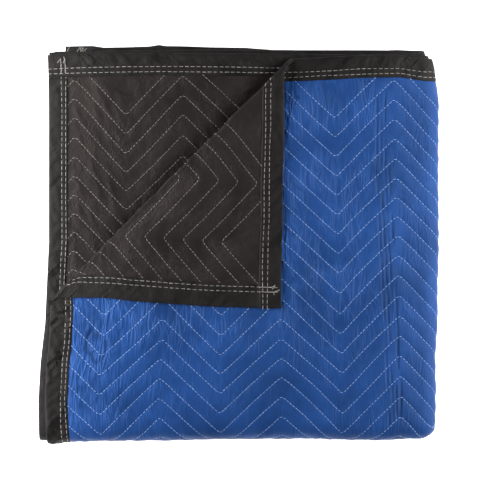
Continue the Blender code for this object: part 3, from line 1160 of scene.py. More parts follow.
def start_material(name: str) -> tuple[bpy.types.Material, bpy.types.Node, NodeSketch]:
    """Make a material with a Principled shader.

    Args:
        name: the material's name.

    Returns:
        The material, its shader, and a sketch of its tree.
    """
    material = bpy.data.materials.new(name)
    material.use_nodes = True
    shader = material.node_tree.nodes["Principled BSDF"]
    return material, shader, NodeSketch(material.node_tree)


@dataclass(frozen=True, kw_only=True)
class Finish:
    """What a sewn piece is made of, between a dark and a light tone."""

    name: str
    dark: Colour
    light: Colour
    roughness: float = 0.60
    gloss: float = 0.5
    gloss_tint: Colour = (1.0, 1.0, 1.0)
    strength: float  # of its relief's bump
    depth: float  # of its relief at strength 1

    def draw(self, sketch: NodeSketch) -> tuple[object, object]:
        """Draw what each finish has of its own, and give the outputs of its colour and its relief."""
        raise NotImplementedError

    def make(self) -> bpy.types.Material:
        """Build the material.

        Returns:
            The material.
        """
        material, shader, sketch = start_material(self.name)
        colour, relief = self.draw(sketch)
        normal = sketch.add("ShaderNodeBump", {
            "Strength": self.strength, "Distance": self.depth, "Height": relief})
        sketch.tree.links.new(colour, shader.inputs["Base Color"])
        sketch.tree.links.new(normal, shader.inputs["Normal"])
        shader.inputs["Roughness"].default_value = self.roughness
        shader.inputs["Specular IOR Level"].default_value = self.gloss
        shader.inputs["Specular Tint"].default_value = (*self.gloss_tint, 1)
        return material


@dataclass(frozen=True, kw_only=True)
class ClothFinish(Finish):
    """Thin woven polyester: crinkled, with a soft sheen. Its sizes are counts in a metre across."""

    stretch: float  # how much longer the crinkles are down the blanket than across it
    depth: float = 0.0020
    patches: Span = (16, 11)  # patches of tone, across and down
    patch_tone: Span = (2.2, -0.75)  # slope and offset of the tone that they give
    patch_roughness: float = 0.6
    ridges: float = 150  # the crinkles' ridges: raised in the relief, and painted lighter as highlights
    ridge_wind: float = 0.6
    ridge_sharpness: float = 4.0
    ridge_highlight: float = 0.45  # how much lighter the painted highlight makes a ridge
    folds: float = 240  # finer crinkles between them
    fold_height: float = 0.55  # beside the ridges'
    clusters: Span = (30, 22)  # where the ridges gather, across and down
    cluster_slope: Span = (3.5, -1.2)
    by_seam: Span = (-0.7, 1.5)  # how strong all of them are, by how far the cloth has risen
    smoothing: float = 0.85  # share of them that is gone where the cloth is drawn smooth
    shade: float = 0.55  # painted shade: how far the colour darkens in the sewn valleys and along sharp creases
    shade_rise: float = 3.2  # how soon the painted shade has cleared, up the valleys' sides
    deep_share: float = 0.25  # of the dark tone, as the painted shade's colour in the deepest valleys
    threads: float = 260.0  # the scale of the weave
    thread_wind: float = 0.3
    thread_height: float = 0.03
    press_height: float = -1.2  # of a sharp old crease

    def draw(self, sketch: NodeSketch) -> tuple[object, object]:
        """Draw the painted shade in the sewn valleys and creases, and the crinkles with painted highlights
        on their ridges.

        Args:
            sketch: the material's tree.

        Returns:
            The outputs of the colour and of the relief.
        """
        flat = sketch.add("ShaderNodeAttribute", attribute_name="flat", output="Vector")
        crown = sketch.part(flat, "Z")
        lie = sketch.add("ShaderNodeAttribute", attribute_name="lie", output="Vector")
        smoothed, pressed, _ = sketch.part(lie, "X").node.outputs
        lines = (self.ridges, self.ridges / self.stretch)
        lines = sketch.noise(flat, lines, detail=1, distortion=self.ridge_wind)
        folds = sketch.noise(flat, (self.folds, self.folds / self.stretch), detail=2)
        where = sketch.line(sketch.noise(flat, self.clusters, detail=1), *self.cluster_slope, clamped=True)
        smooth = sketch.line(smoothed, -self.smoothing, 1.0)
        strength = sketch.math("MULTIPLY", sketch.line(crown, *self.by_seam), smooth)
        off_middle = sketch.math("ABSOLUTE", sketch.line(lines, 2.0, -1.0))
        ridge = sketch.math("SUBTRACT", 1.0, off_middle)  # 1 where the noise crosses its middle
        ridge = sketch.math("POWER", ridge, self.ridge_sharpness)
        ridge = sketch.math("MULTIPLY", ridge, sketch.math("MULTIPLY", where, strength))
        # painted shade: the colour darkens low in the sewn valleys and along sharp creases
        valley = sketch.line(crown, -self.shade_rise, 1.0, clamped=True)
        shade = sketch.math("MULTIPLY", sketch.math("MAXIMUM", valley, pressed), self.shade)
        patches = sketch.noise(flat, self.patches, detail=4, roughness=self.patch_roughness)
        # random patches of tone, plus the painted highlights on the crinkle ridges
        tone = sketch.line(ridge, self.ridge_highlight, sketch.line(patches, *self.patch_tone))
        deep = tuple(self.deep_share * part for part in self.dark)
        colour = sketch.mix(shade, sketch.mix(tone, self.dark, self.light), deep)
        weave = sketch.add("ShaderNodeTexWave", {
            "Vector": sketch.stretch(flat, (1, 1)), "Scale": self.threads,
            "Distortion": self.thread_wind}, output=1)
        relief = sketch.line(sketch.math("MULTIPLY", folds, strength), self.fold_height, ridge)
        relief = sketch.line(weave, self.thread_height, relief)
        return colour, sketch.line(pressed, self.press_height, relief)


@dataclass(frozen=True, kw_only=True)
class TapeFinish(Finish):
    """Woven tape: matte, with fine ribs across it. Its sizes are counts in a metre along and across it."""

    # the colour of the painted shade in the creases
    creased: Colour = (0.0012, 0.0010, 0.0009)
    painted_crease_shade: float = 0.8  # how far its creases take that colour, as painted shade
    patches: Span = (45, 90)
    patch_tone: Span = (2.0, -0.6)
    puckers: Span = (210, 80)
    pucker_wind: float = 0.8
    ribs: float = 280.0  # the scale of the ribs
    rib_height: float = 0.06  # beside the puckers'
    crease_height: float = -1.0
    strength: float = 0.6
    depth: float = 0.0010

    def draw(self, sketch: NodeSketch) -> tuple[object, object]:
        """Draw the ribs, the puckers, and the creases with painted shade in them.

        Args:
            sketch: the material's tree.

        Returns:
            The outputs of the colour and of the relief.
        """
        flat = sketch.add("ShaderNodeAttribute", attribute_name="flat", output="Vector")
        crease = sketch.part(flat, "Z")
        patches = sketch.noise(flat, self.patches, detail=3)
        puckers = sketch.noise(flat, self.puckers, detail=2, distortion=self.pucker_wind)
        ribs = sketch.add("ShaderNodeTexWave", {
            "Vector": sketch.stretch(flat, (1,)), "Scale": self.ribs}, output=1)
        colour = sketch.mix(sketch.line(patches, *self.patch_tone), self.dark, self.light)
        # painted shade: the creases darken towards the crease colour
        colour = sketch.mix(sketch.math("MULTIPLY", crease, self.painted_crease_shade), colour, self.creased)
        return colour, sketch.line(crease, self.crease_height, sketch.line(ribs, self.rib_height, puckers))


@dataclass(frozen=True, kw_only=True)
class ThreadFinish(Finish):
    """Spun sewing thread, a little uneven in tone."""

    patches: tuple[float, ...] = (90, 90, 90)  # counts in a metre
    patch_tone: Span = (1.8, -0.4)
    twist: tuple[float, ...] = (2200, 2200, 2200)
    strength: float = 0.3
    depth: float = 0.0002

    def draw(self, sketch: NodeSketch) -> tuple[object, object]:
        """Draw the uneven tone and the twist.

        Args:
            sketch: the material's tree.

        Returns:
            The outputs of the colour and of the relief.
        """
        place = sketch.add("ShaderNodeTexCoord", output="Object")
        patches = sketch.noise(place, self.patches, detail=2)
        colour = sketch.mix(sketch.line(patches, *self.patch_tone), self.dark, self.light)
        return colour, sketch.noise(place, self.twist, detail=1)


BLUE_CLOTH = ClothFinish(
    name="blue_quilted_cloth", dark=(0.0086, 0.0380, 0.146), light=(0.0176, 0.0710, 0.264),
    roughness=0.50, gloss=0.3, gloss_tint=(0.36, 0.56, 1.0), strength=0.70, stretch=5.0)
BLACK_CLOTH = ClothFinish(
    name="black_quilted_cloth", dark=(0.0084, 0.0066, 0.0061), light=(0.0216, 0.0175, 0.0163),
    roughness=0.58, gloss=0.18, gloss_tint=(1.0, 0.93, 0.90), strength=0.34, stretch=1.2)
BLACK_TAPE = TapeFinish(
    name="woven_black_tape", dark=(0.0052, 0.0043, 0.0040), light=(0.0135, 0.0116, 0.0109), gloss=0.20)
PALE_THREAD = ThreadFinish(name="pale_grey_thread", dark=(0.21, 0.195, 0.18), light=(0.46, 0.43, 0.40))
GREY_THREAD = ThreadFinish(name="grey_thread", dark=(0.16, 0.145, 0.13), light=(0.34, 0.31, 0.28))
BLUE_THREAD = ThreadFinish(name="pale_blue_thread", dark=(0.16, 0.32, 0.74), light=(0.34, 0.52, 0.92))


@dataclass(frozen=True)
class Window:
    """A rectangle of the flat blanket that is meshed at its own spacing."""

    across: Span
    along: Span
    column_step: float
    row_shares: tuple[float, ...]  # rows in each row pitch, as shares of it
    band: Span = (-math.inf, math.inf)  # and only this far from the top left corner, slantwise

    def holds(self, flat: Array) -> Array:
        """Say which flat u, v rows lie in the window."""
        out = slantwise(flat[:, 0], flat[:, 1])
        return within(flat, self.across, self.along) & (out > self.band[0]) & (out < self.band[1])


LEFT = TOP = -0.01  # just outside the blanket's edges
RIGHT = 2.05
BOTTOM = 2.07
FINEST_ROWS = (0.0, 0.04, 0.10, 0.18, 0.26, 0.34, 0.42, 0.5, 0.58, 0.66, 0.74, 0.82, 0.90, 0.96)
FINE_ROWS = (0.0, 0.047, 0.118, 0.236, 0.374, 0.5, 0.626, 0.764, 0.882, 0.953)
MEDIUM_ROWS = (0.0, 0.08, 0.25, 0.5, 0.75, 0.92)
COARSE_ROWS = (0.0, 0.5)
HIDDEN_WINDOWS = (  # the other bends, and all that lies between
    Window((0.480, 0.545), (TOP, BOTTOM), STEP / 2, COARSE_ROWS),
    Window((1.495, 1.557), (TOP, BOTTOM), STEP / 2, COARSE_ROWS),
    Window((LEFT, RIGHT), (0.450, 0.580), 2 * STEP, MEDIUM_ROWS),
    Window((LEFT, RIGHT), (1.470, 1.600), 2 * STEP, MEDIUM_ROWS),
    Window((LEFT, RIGHT), (TOP, BOTTOM), 3 * STEP, COARSE_ROWS),
)
FACE_WINDOWS = (  # the first that holds a place is the one that counts
    Window((1.0140, 1.0235), (TOP, BOTTOM), 0.0011, MEDIUM_ROWS),  # the innermost bend
    Window((0.4220, 0.4540), (0.040, 0.490), 0.0013, FINE_ROWS),  # the old packing creases
    Window((0.4540, 0.5200), (0.025, 0.230), 0.0022, FINEST_ROWS),  # the ripples
    Window((0.0270, 0.1100), (0.260, 0.475), 0.0016, FINE_ROWS),  # the creases by the left tape
    Window((LEFT, 0.275), (TOP, 0.275), STEP, MEDIUM_ROWS, band=(-math.inf, 0.195)),
    Window((LEFT, 0.275), (TOP, 0.275), STEP, MEDIUM_ROWS, band=(0.245, math.inf)),
    Window((LEFT, 0.545), (TOP, 0.575), STEP / 2, FINE_ROWS),  # the rest of the top layer
    Window((0.480, 0.545), (0.575, 1.040), STEP / 2, MEDIUM_ROWS),
    Window((LEFT, 0.480), (0.575, 1.040), STEP, MEDIUM_ROWS),
    Window((0.545, RIGHT), (1.0100, 1.0400), STEP, FINE_ROWS),
    *HIDDEN_WINDOWS,
)
BACKING_WINDOWS = (
    Window((1.0140, 1.0235), (TOP, BOTTOM), 0.0011, COARSE_ROWS),
    Window((LEFT, 0.330), (TOP, 0.330), 0.0016, FINEST_ROWS, band=(0.200, 0.2295)),  # the roll
    Window((LEFT, 0.345), (TOP, 0.345), STEP / 2, FINE_ROWS),  # the turned-back corner
    Window((1.680, RIGHT), (TOP, 0.360), STEP / 2, FINE_ROWS),  # the layer under it
    Window((0.545, RIGHT), (1.0100, 1.0400), 2 * STEP, MEDIUM_ROWS),
    *HIDDEN_WINDOWS,
)


def put_in_scene(made: Piece) -> Piece:
    """Put a new object in the scene, and give it back."""
    bpy.context.scene.collection.objects.link(made)
    return made


def make_piece(name: str, points: Array, faces: list) -> Piece:
    """Make a smooth mesh object at the origin.

    Args:
        name: the piece's name.
        points: an array of x, y, z rows.
        faces: a list of vertex numbers for each face.

    Returns:
        The object, in the scene.
    """
    mesh = bpy.data.meshes.new(name)
    mesh.from_pydata(points.tolist(), [], faces)
    mesh.shade_smooth()
    return put_in_scene(bpy.data.objects.new(name, mesh))


def add_vectors(piece: Piece, name: str, rows: Array) -> None:
    """Give a mesh a named vector at each of its points."""
    attribute = piece.data.attributes.new(name, "FLOAT_VECTOR", "POINT")
    attribute.data.foreach_set("vector", rows.astype(np.float32).ravel())


@dataclass
class QuiltedCloth:
    """One of the blanket's two cloths, quilted and folded."""

    name: str
    node: str
    slot: str
    side: Side
    finish: ClothFinish
    windows: tuple[Window, ...]
    outline_step: float = STEP
    margin: float = 0.06  # of a window's grid, which the pulls in the cloth then take up
    clear: float = 0.0007  # no grid point comes this near to the outline or a feature line
    feature_insets: tuple[float, ...] = (0.0270, 0.0292, 0.0318, 0.0345)
    inside_only: int = 1  # the triangulation's mode that keeps what lies in the outline
    merge_within: float = 1e-7

    def grid(self, quilting: Quilting) -> Array:
        """Lay out the mesh's inner points, each window's at its own spacing.

        Args:
            quilting: the rows that the points follow.

        Returns:
            Rows of pattern coordinates.
        """
        placed, start = [], quilting.first_valley
        for place, window in enumerate(self.windows):
            step = window.column_step
            low = math.floor((window.across[0] - self.margin - start) / step)
            high = math.ceil((window.across[1] + self.margin - start) / step)
            columns = start + step * np.arange(low, high)
            low = math.floor((window.along[0] - self.margin) / ROW_PITCH)
            high = math.ceil((window.along[1] + self.margin + quilting.swing) / ROW_PITCH)
            shares = np.add.outer(np.arange(low, high), window.row_shares).ravel()
            rows = quilting.first_row + ROW_PITCH * shares
            pattern = np.stack(np.meshgrid(columns, rows), axis=-1).reshape(-1, 2)
            flat = quilting.to_flat(pattern)
            kept = window.holds(flat)
            for finer in self.windows[:place]:
                kept &= ~finer.holds(flat)
            u, v = flat[:, 0], flat[:, 1]
            for distance in (u, WIDTH - u, v, LENGTH - v):
                kept &= distance > self.clear
                for inset in self.feature_insets:
                    kept &= np.abs(distance - inset) > self.clear
            placed.append(pattern[kept])
        return np.concatenate(placed)

    def loop(self, inset: float, step: float) -> Array:
        """Go round a rectangle inside the blanket's edges.

        Args:
            inset: how far inside them.
            step: the most from one point to the next.

        Returns:
            The u, v rows, in order.
        """
        right, bottom = WIDTH - inset, LENGTH - inset
        corners = [(inset, inset), (right, inset), (right, bottom), (inset, bottom)]
        sides = []
        for start, end in zip(corners, corners[1:] + corners[:1]):
            shares = np.linspace(0, 1, math.ceil(math.dist(start, end) / step), endpoint=False)[:, None]
            sides.append(np.array(start) * (1 - shares) + np.array(end) * shares)
        return np.concatenate(sides)

    def triangulate(self, quilting: Quilting) -> tuple[Array, list]:
        """Mesh the flat cloth between its sewn rows, with edges all along the feature lines.

        Args:
            quilting: the rows.

        Returns:
            The u, v rows of the mesh's points, and its faces.
        """
        outline = self.loop(0.0, self.outline_step)
        features = [self.loop(inset, self.outline_step / 2) for inset in self.feature_insets]
        rings = [quilting.from_flat(ring) for ring in (outline, *features)]
        points = np.concatenate([*rings, self.grid(quilting)])
        edges, first = [], len(outline)
        for ring in rings[1:]:
            edges += [(first + i, first + (i + 1) % len(ring)) for i in range(len(ring))]
            first += len(ring)
        verts, _, faces, *_ = delaunay_2d_cdt(
            [Vector(point) for point in points], edges, [list(range(len(outline)))],
            self.inside_only, self.merge_within)
        return quilting.to_flat(np.array([vert[:] for vert in verts])), faces

    def build(self, pack: FoldedPack, surface: BlanketSurface) -> Piece:
        """Mesh the cloth flat, fold it up and dress it.

        Args:
            pack: the folds.
            surface: the heights.

        Returns:
            The cloth's object.
        """
        quilting = surface.quilting
        flat, faces = self.triangulate(quilting)
        if self.side is Side.FACE:
            faces = [face[::-1] for face in faces]
        height = MIDDLE + self.side.value * surface.cloth(flat, self.side)
        piece = make_piece(self.name, pack.place(np.column_stack([flat, height])), faces)
        # the crown and the lie also steer where the finish paints shade in the valleys and creases
        add_vectors(piece, "flat", np.column_stack([flat, quilting.crown(quilting.from_flat(flat))]))
        add_vectors(piece, "lie", surface.lie(flat, self.side))
        piece.data.materials.append(self.finish.make())
        return piece


@dataclass(frozen=True)
class SectionSpot:
    """One point round a tape's section."""

    inset: float
    side: Side
    outer: bool


@dataclass
class BindingTape:
    """The tape folded over one edge of the blanket, sewn down with two rows of stitches."""

    edge: Edge
    finish: bpy.types.Material
    slot: str = "black_binding"
    step: float = STEP
    shown_step: float = 0.0021
    shown: tuple[Span, ...] = ((0.0, 0.56), (1.66, 2.06))
    closest: float = 0.0006  # no two sections come nearer than this
    pinch_steps: int = 4
    bend_steps: int = 10
    inner_insets: tuple[float, ...] = (-0.0008, 0.0060, 0.0165)
    back_mark: float = 0.1  # tells the finish an inset on the backing from one on the face

    def stations(self, pack: FoldedPack) -> Array:
        """Place the tape's sections along it, closer together in the bends and where it shows.

        Args:
            pack: the folds.

        Returns:
            The distances along the tape.
        """
        run, axis = self.edge.run(), self.edge.axis()
        pinch = np.linspace(0, TAPE.pinch_length, self.pinch_steps)
        places = [np.linspace(0, run, round(run / self.step)), pinch, run - pinch]
        places += [np.arange(low, high, self.shown_step) for low, high in self.shown]
        first, second = (fold for fold in pack.folds if fold.axis is axis)
        bends = [(first.line, first.line + first.arc()), (second.line, second.line + second.arc())]
        bends.append(tuple(2 * first.line + first.arc() - place for place in bends[1][::-1]))
        for low, high in bends:
            places.append(np.linspace(low, high, self.bend_steps) - self.edge.start[axis])
        ordered = np.sort(np.clip(np.concatenate(places), 0, run))
        kept = [ordered[0]]
        for place in ordered[1:-1]:
            if place - kept[-1] > self.closest and run - place > self.closest:
                kept.append(place)
        return np.array([*kept, run])

    def profile(self) -> list[SectionSpot]:
        """Go round the section, over the outer faces and back inside the fold.

        Returns:
            Its points in order.
        """
        edge, inner = self.edge, self.inner_insets
        face, back = (TAPE.insets(edge.rows, edge.cover(side)) for side in (Side.FACE, Side.BACKING))
        spots = [SectionSpot(inset, Side.FACE, True) for inset in face[::-1]]
        spots += [SectionSpot(inset, Side.BACKING, True) for inset in back[1:]]
        spots += [SectionSpot(inset, Side.BACKING, False) for inset in (edge.back_cover, *inner[::-1])]
        return spots + [SectionSpot(inset, Side.FACE, False) for inset in (*inner, edge.face_cover)]

    def faces(self, rows: int, around: int) -> list[tuple[int, ...]]:
        """Join the sections, and close the two ends.

        Args:
            rows: how many sections there are.
            around: how many points each has.

        Returns:
            The faces, which point outwards.
        """
        faces = []
        for low in range(0, (rows - 1) * around, around):
            for spot in range(around):
                ahead = (spot + 1) % around
                faces.append((low + spot, low + ahead, low + around + ahead, low + around + spot))
        last = (rows - 1) * around
        faces += [tuple(range(around))[::-1], tuple(range(last, last + around))]
        return [face[::-1] for face in faces] if self.edge.faces_right() else faces

    def build(self, pack: FoldedPack, surface: BlanketSurface) -> Piece:
        """Sweep the tape's section along its edge, fold it up and dress it.

        Args:
            pack: the folds.
            surface: the heights, which know the tape's puckers.

        Returns:
            The tape's object.
        """
        edge, noise = self.edge, surface.tape_noises[self.edge.name]
        stations, spots = self.stations(pack), self.profile()
        columns, marks = [], []
        for spot in spots:
            inset = np.full(len(stations), spot.inset)
            height = edge.height(inset, stations, spot.side, noise)
            if not spot.outer:
                height = np.maximum(height - TAPE.wall, TAPE.least_inside)
            curl = edge.curl.at(stations) * (1 - ease(inset, 0, edge.rows[0]))
            level = MIDDLE + spot.side.value * height + curl
            columns.append(np.column_stack([edge.flat(stations, inset), level]))
            across = inset + (self.back_mark if spot.side is Side.BACKING else 0)
            # the creases' depth, which the finish reads for their relief and for the painted shade in them
            depth = edge.creased(inset, stations, noise) * edge.slack.at(stations)
            marks.append(np.column_stack([stations, across, depth]))
        flat = np.stack(columns, axis=1).reshape(-1, 3)
        piece = make_piece(edge.name + "_tape", pack.place(flat), self.faces(len(stations), len(spots)))
        add_vectors(piece, "flat", np.stack(marks, axis=1).reshape(-1, 3))
        piece.data.materials.append(self.finish)
        return piece


@dataclass(frozen=True)
class SewnLine:
    """A line of stitches on the flat blanket."""

    flat: Array
    side: Side


@dataclass(frozen=True)
class ShownArea:
    """A part of the blanket whose stitches are made, because it can be seen in the pack."""

    side: Side
    across: Span
    along: Span
    corner_reach: float = math.inf  # only points nearer than this to the blanket's top corner there

    def holds(self, flat: Array) -> Array:
        """Say which flat u, v rows lie in the area."""
        from_corner = np.minimum(flat[:, 0], WIDTH - flat[:, 0]) + flat[:, 1]
        return within(flat, self.across, self.along) & (from_corner < self.corner_reach)


def unbroken_runs(held: Array, shortest: int = 3) -> list[slice]:
    """Give a slice for each stretch of a line that is held, but drop those of too few points."""
    changes = np.flatnonzero(np.diff(np.concatenate([[False], held, [False]]).astype(int)))
    return [slice(start, end) for start, end in zip(changes[::2], changes[1::2]) if end - start >= shortest]


@dataclass
class StitchLayout:
    """Finds the lines of stitches that show."""

    surface: BlanketSurface
    line_step: float = 0.0016
    end_step: float = 0.0006  # along the loose ends
    past_edge: float = 0.05  # how far a quilted row is laid out past the edge
    tape_overlap: float = 0.0005  # how far it may reach under a tape
    hidden_end: float = 0.006  # of the side tapes' rows, under the top and bottom tapes
    open_end: float = 0.001  # and where the top and bottom tapes' rows stop, short of their ends
    waver: float = 0.0005  # how far a tape's rows stray from their insets
    wavers: Lattice = Lattice((0.05, NEVER), (NEVER, NEVER))
    waver_seed: int = 20
    waver_shift: float = 7.0  # lattice steps that set the two rows apart
    areas: tuple[ShownArea, ...] = (
        ShownArea(Side.FACE, (LEFT, 0.545), (TOP, 1.036)),
        ShownArea(Side.FACE, (1.0135, 1.0240), (TOP, BOTTOM)),
        ShownArea(Side.FACE, (0.545, WIDTH), (1.0120, 1.0360)),
        ShownArea(Side.BACKING, (LEFT, 0.36), (TOP, 0.36), corner_reach=0.338),
        ShownArea(Side.BACKING, (WIDTH - 0.40, RIGHT), (TOP, 0.40), corner_reach=0.360),
        ShownArea(Side.BACKING, (LEFT, 0.10), (LENGTH - 0.025, BOTTOM)),
    )
    loose_ends: tuple[tuple[Span, ...], ...] = (  # u, v of the tapes' cut thread, on the backing
        ((0.0252, 0.0300), (0.0254, 0.0120), (0.0268, 0.0080),
         (0.0278, 0.0066), (0.0262, 0.0078), (0.0231, 0.0103)),
        ((0.0190, 0.0300), (0.0193, 0.0085), (0.0205, 0.0045), (0.0219, 0.0012)),
        ((0.0192, 0.0087), (0.0160, 0.0080)),
        ((2.0228, 0.0198), (2.0228, 0.0068), (2.0236, 0.0052), (2.0252, 0.0064), (2.0271, 0.0089)),
        ((2.0176, 0.0224), (2.0176, 0.0094), (2.0186, 0.0019)),
        ((2.0178, 0.0049), (2.0197, 0.0094)),
        ((0.0010, 2.0525), (0.0022, 2.0550), (0.0038, 2.0578)),
        ((0.0134, 2.0505), (0.0173, 2.0572)),
        ((0.0179, 2.0570), (0.0205, 2.0512), (0.0235, 2.0538), (0.0264, 2.0558)),
        ((0.0195, 2.0566), (0.0224, 2.0566), (0.0208, 2.0538)),
    )

    def quilting_lines(self, side: Side) -> list[SewnLine]:
        """Find the chevron rows that show between the tapes.

        Args:
            side: which side of the blanket.

        Returns:
            Their lines.
        """
        quilting, lines = self.surface.quilting, []
        across = np.arange(0, WIDTH + self.past_edge, self.line_step)
        areas = [area for area in self.areas if area.side is side]
        for row in range(math.ceil((LENGTH + quilting.swing) / ROW_PITCH) + 2):
            level = quilting.first_row + row * ROW_PITCH
            flat = quilting.to_flat(np.column_stack([across, np.full(len(across), level)]))
            inside = np.all(
                [edge.split(flat)[1] > edge.cover(side) - self.tape_overlap for edge in EDGES], axis=0)
            for area in areas:
                lines += [SewnLine(flat[run], side) for run in unbroken_runs(inside & area.holds(flat))]
        return lines

    def end_lines(self) -> list[SewnLine]:
        """Lay out the loose ends of thread.

        Returns:
            Their short lines.
        """
        lines = []
        for end in self.loose_ends:
            corners = np.array(end)
            lengths = np.concatenate([[0], np.cumsum(np.hypot(*np.diff(corners, axis=0).T))])
            places = np.linspace(0, lengths[-1], math.ceil(lengths[-1] / self.end_step) + 1)
            flat = np.column_stack([np.interp(places, lengths, corners[:, axis]) for axis in Axis])
            lines.append(SewnLine(flat, Side.BACKING))
        return lines

    def tape_lines(self) -> list[SewnLine]:
        """Find the double rows that show on the tapes.

        Returns:
            Their lines.
        """
        lines = []
        for edge in EDGES:
            over = BUTT - self.hidden_end if edge.axis() is Axis.ALONG else -self.open_end
            along = np.arange(-over, edge.run() + over, self.line_step)
            noise = SmoothNoise(edge.seed + self.waver_seed)
            for number, row in enumerate(edge.rows):
                sway = self.wavers.read(noise, along, np.zeros(len(along)), (0.0, self.waver_shift * number))
                flat = edge.flat(along, row + self.waver * sway)
                for area in self.areas:
                    lines += [SewnLine(flat[run], area.side) for run in unbroken_runs(area.holds(flat))]
        return lines


class StitchTree:
    """Geometry Nodes that set one dash of thread after another along lines of stitches."""

    SIZES = ("Pitch", "Dash Length", "Thread Width", "Thread Height", "Waver")
    INPUTS = {**dict.fromkeys(SIZES, "NodeSocketFloat"),
              "Seed": "NodeSocketInt", "Finish": "NodeSocketMaterial"}
    DASH_SIDES = 6
    DASH_RINGS = 3
    BLUNTNESS = 0.35  # a power, and 1 leaves the ends round
    SHORTEST, LONGEST = 0.86, 1.06  # shares of the dash length

    def __init__(self) -> None:
        """Build the tree once, for all the thread."""
        self.group = bpy.data.node_groups.new("stitches_along_lines", "GeometryNodeTree")
        face = self.group.interface
        face.new_socket("Geometry", in_out="INPUT", socket_type="NodeSocketGeometry")
        self.sockets = {name: face.new_socket(name, in_out="INPUT", socket_type=kind).identifier
                        for name, kind in self.INPUTS.items()}
        face.new_socket("Geometry", in_out="OUTPUT", socket_type="NodeSocketGeometry")
        self._draw()

    def _dash(self, sketch: NodeSketch) -> object:
        """Make one dash: a spindle of radius 1 along Z with blunt ends.

        Args:
            sketch: the tree.

        Returns:
            The output of its mesh.
        """
        ball = sketch.add("GeometryNodeMeshUVSphere", {
            "Segments": self.DASH_SIDES, "Rings": self.DASH_RINGS, "Radius": 1.0})
        x, y, z = sketch.part(sketch.add("GeometryNodeInputPosition"), "X").node.outputs
        reach = sketch.math("POWER", sketch.math("ABSOLUTE", z), self.BLUNTNESS)
        blunt = sketch.math("MULTIPLY", sketch.math("SIGN", z), reach)
        moved = sketch.add("ShaderNodeCombineXYZ", {0: x, 1: y, 2: blunt})
        return sketch.add("GeometryNodeSetPosition", {"Geometry": ball, "Position": moved})

    def _random(self, sketch: NodeSketch, low: float, high: float, seed: object) -> object:
        """Draw a number for each point."""
        return sketch.add(
            "FunctionNodeRandomValue", {2: low, 3: high, "Seed": seed}, output=1, data_type="FLOAT")

    def _draw(self) -> None:
        """Lay the tree out: lines, points along them, a dash on each point."""
        sketch = NodeSketch(self.group)
        given = self.group.nodes.new("NodeGroupInput").outputs
        line = sketch.add("GeometryNodeMeshToCurve", {"Mesh": given["Geometry"]})
        points = sketch.add(
            "GeometryNodeResampleCurve", {"Curve": line, "Length": given["Pitch"]}, mode="LENGTH")
        up = sketch.add("GeometryNodeInputNamedAttribute", {"Name": "up"}, data_type="FLOAT_VECTOR")
        tangent = sketch.add("GeometryNodeInputTangent")
        sway = sketch.math("MULTIPLY", self._random(sketch, -1.0, 1.0, given["Seed"]), given["Waver"])
        aside = sketch.add("ShaderNodeVectorMath", {0: up, 1: tangent}, operation="CROSS_PRODUCT")
        aside = sketch.scaled(aside, sway)
        points = sketch.add("GeometryNodeSetPosition", {"Geometry": points, "Offset": aside})
        turn = sketch.add("FunctionNodeAxesToRotation", {"Primary Axis": tangent, "Secondary Axis": up},
                          primary_axis="Z", secondary_axis="X")
        other_seed = sketch.math("ADD", given["Seed"], 1.0)
        length = sketch.math("MULTIPLY", given["Dash Length"],
                             self._random(sketch, self.SHORTEST, self.LONGEST, other_seed))
        size = sketch.add(
            "ShaderNodeCombineXYZ", {0: given["Thread Height"], 1: given["Thread Width"], 2: length})
        half = sketch.scaled(size, 0.5)
        dashes = sketch.add("GeometryNodeInstanceOnPoints", {
            "Points": points, "Instance": self._dash(sketch), "Rotation": turn, "Scale": half})
        whole = sketch.add("GeometryNodeRealizeInstances", {"Geometry": dashes})
        smooth = sketch.add("GeometryNodeSetShadeSmooth", {"Geometry": whole})
        dressed = sketch.add("GeometryNodeSetMaterial", {"Geometry": smooth, "Material": given["Finish"]})
        out = self.group.nodes.new("NodeGroupOutput")
        self.group.links.new(dressed, out.inputs["Geometry"])


@dataclass
class Stitching:
    """All the stitches of one thread, as one piece."""

    name: str
    pitch: float
    dash: float
    width: float = 0.00075
    height: float = 0.00055
    waver: float = 0.00010
    lift: float = 0.00018  # how far the thread's middle lies above the cloth
    seed: int = 1

    def build(self, lines: list[SewnLine], pack: FoldedPack, surface: BlanketSurface, tree: StitchTree,
              finish: bpy.types.Material) -> Piece:
        """Lay the lines on the folded blanket and set the stitches along them.

        Args:
            lines: the lines on the flat blanket.
            pack: the folds.
            surface: the heights that the thread lies on.
            tree: the Geometry Nodes that set the stitches.
            finish: the thread's material.

        Returns:
            The stitches, as a plain mesh object.
        """
        places, ups, edges, first = [], [], [], 0
        for line in lines:
            place, up = pack.place_with_up(surface.lift(line.flat, line.side, self.lift), line.side)
            places.append(place)
            ups.append(up)
            edges += [(first + i, first + i + 1) for i in range(len(place) - 1)]
            first += len(place)
        mesh = bpy.data.meshes.new(self.name + "_lines")
        mesh.from_pydata(np.concatenate(places).tolist(), edges, [])
        guide = put_in_scene(bpy.data.objects.new(self.name + "_lines", mesh))
        add_vectors(guide, "up", np.concatenate(ups))
        modifier = guide.modifiers.new("stitches", "NODES")
        modifier.node_group = tree.group
        values = {"Pitch": self.pitch, "Dash Length": self.dash, "Thread Width": self.width,
                  "Thread Height": self.height, "Waver": self.waver, "Seed": self.seed, "Finish": finish}
        for name, value in values.items():
            modifier[tree.sockets[name]] = value
        made = bpy.data.meshes.new_from_object(guide.evaluated_get(bpy.context.evaluated_depsgraph_get()))
        bpy.data.objects.remove(guide)
        made.name = self.name
        return put_in_scene(bpy.data.objects.new(self.name, made))


@dataclass(frozen=True)
class Lamp:
    """Where a soft light hangs, and its power in watts."""

    place: tuple[float, float, float]
    power: float


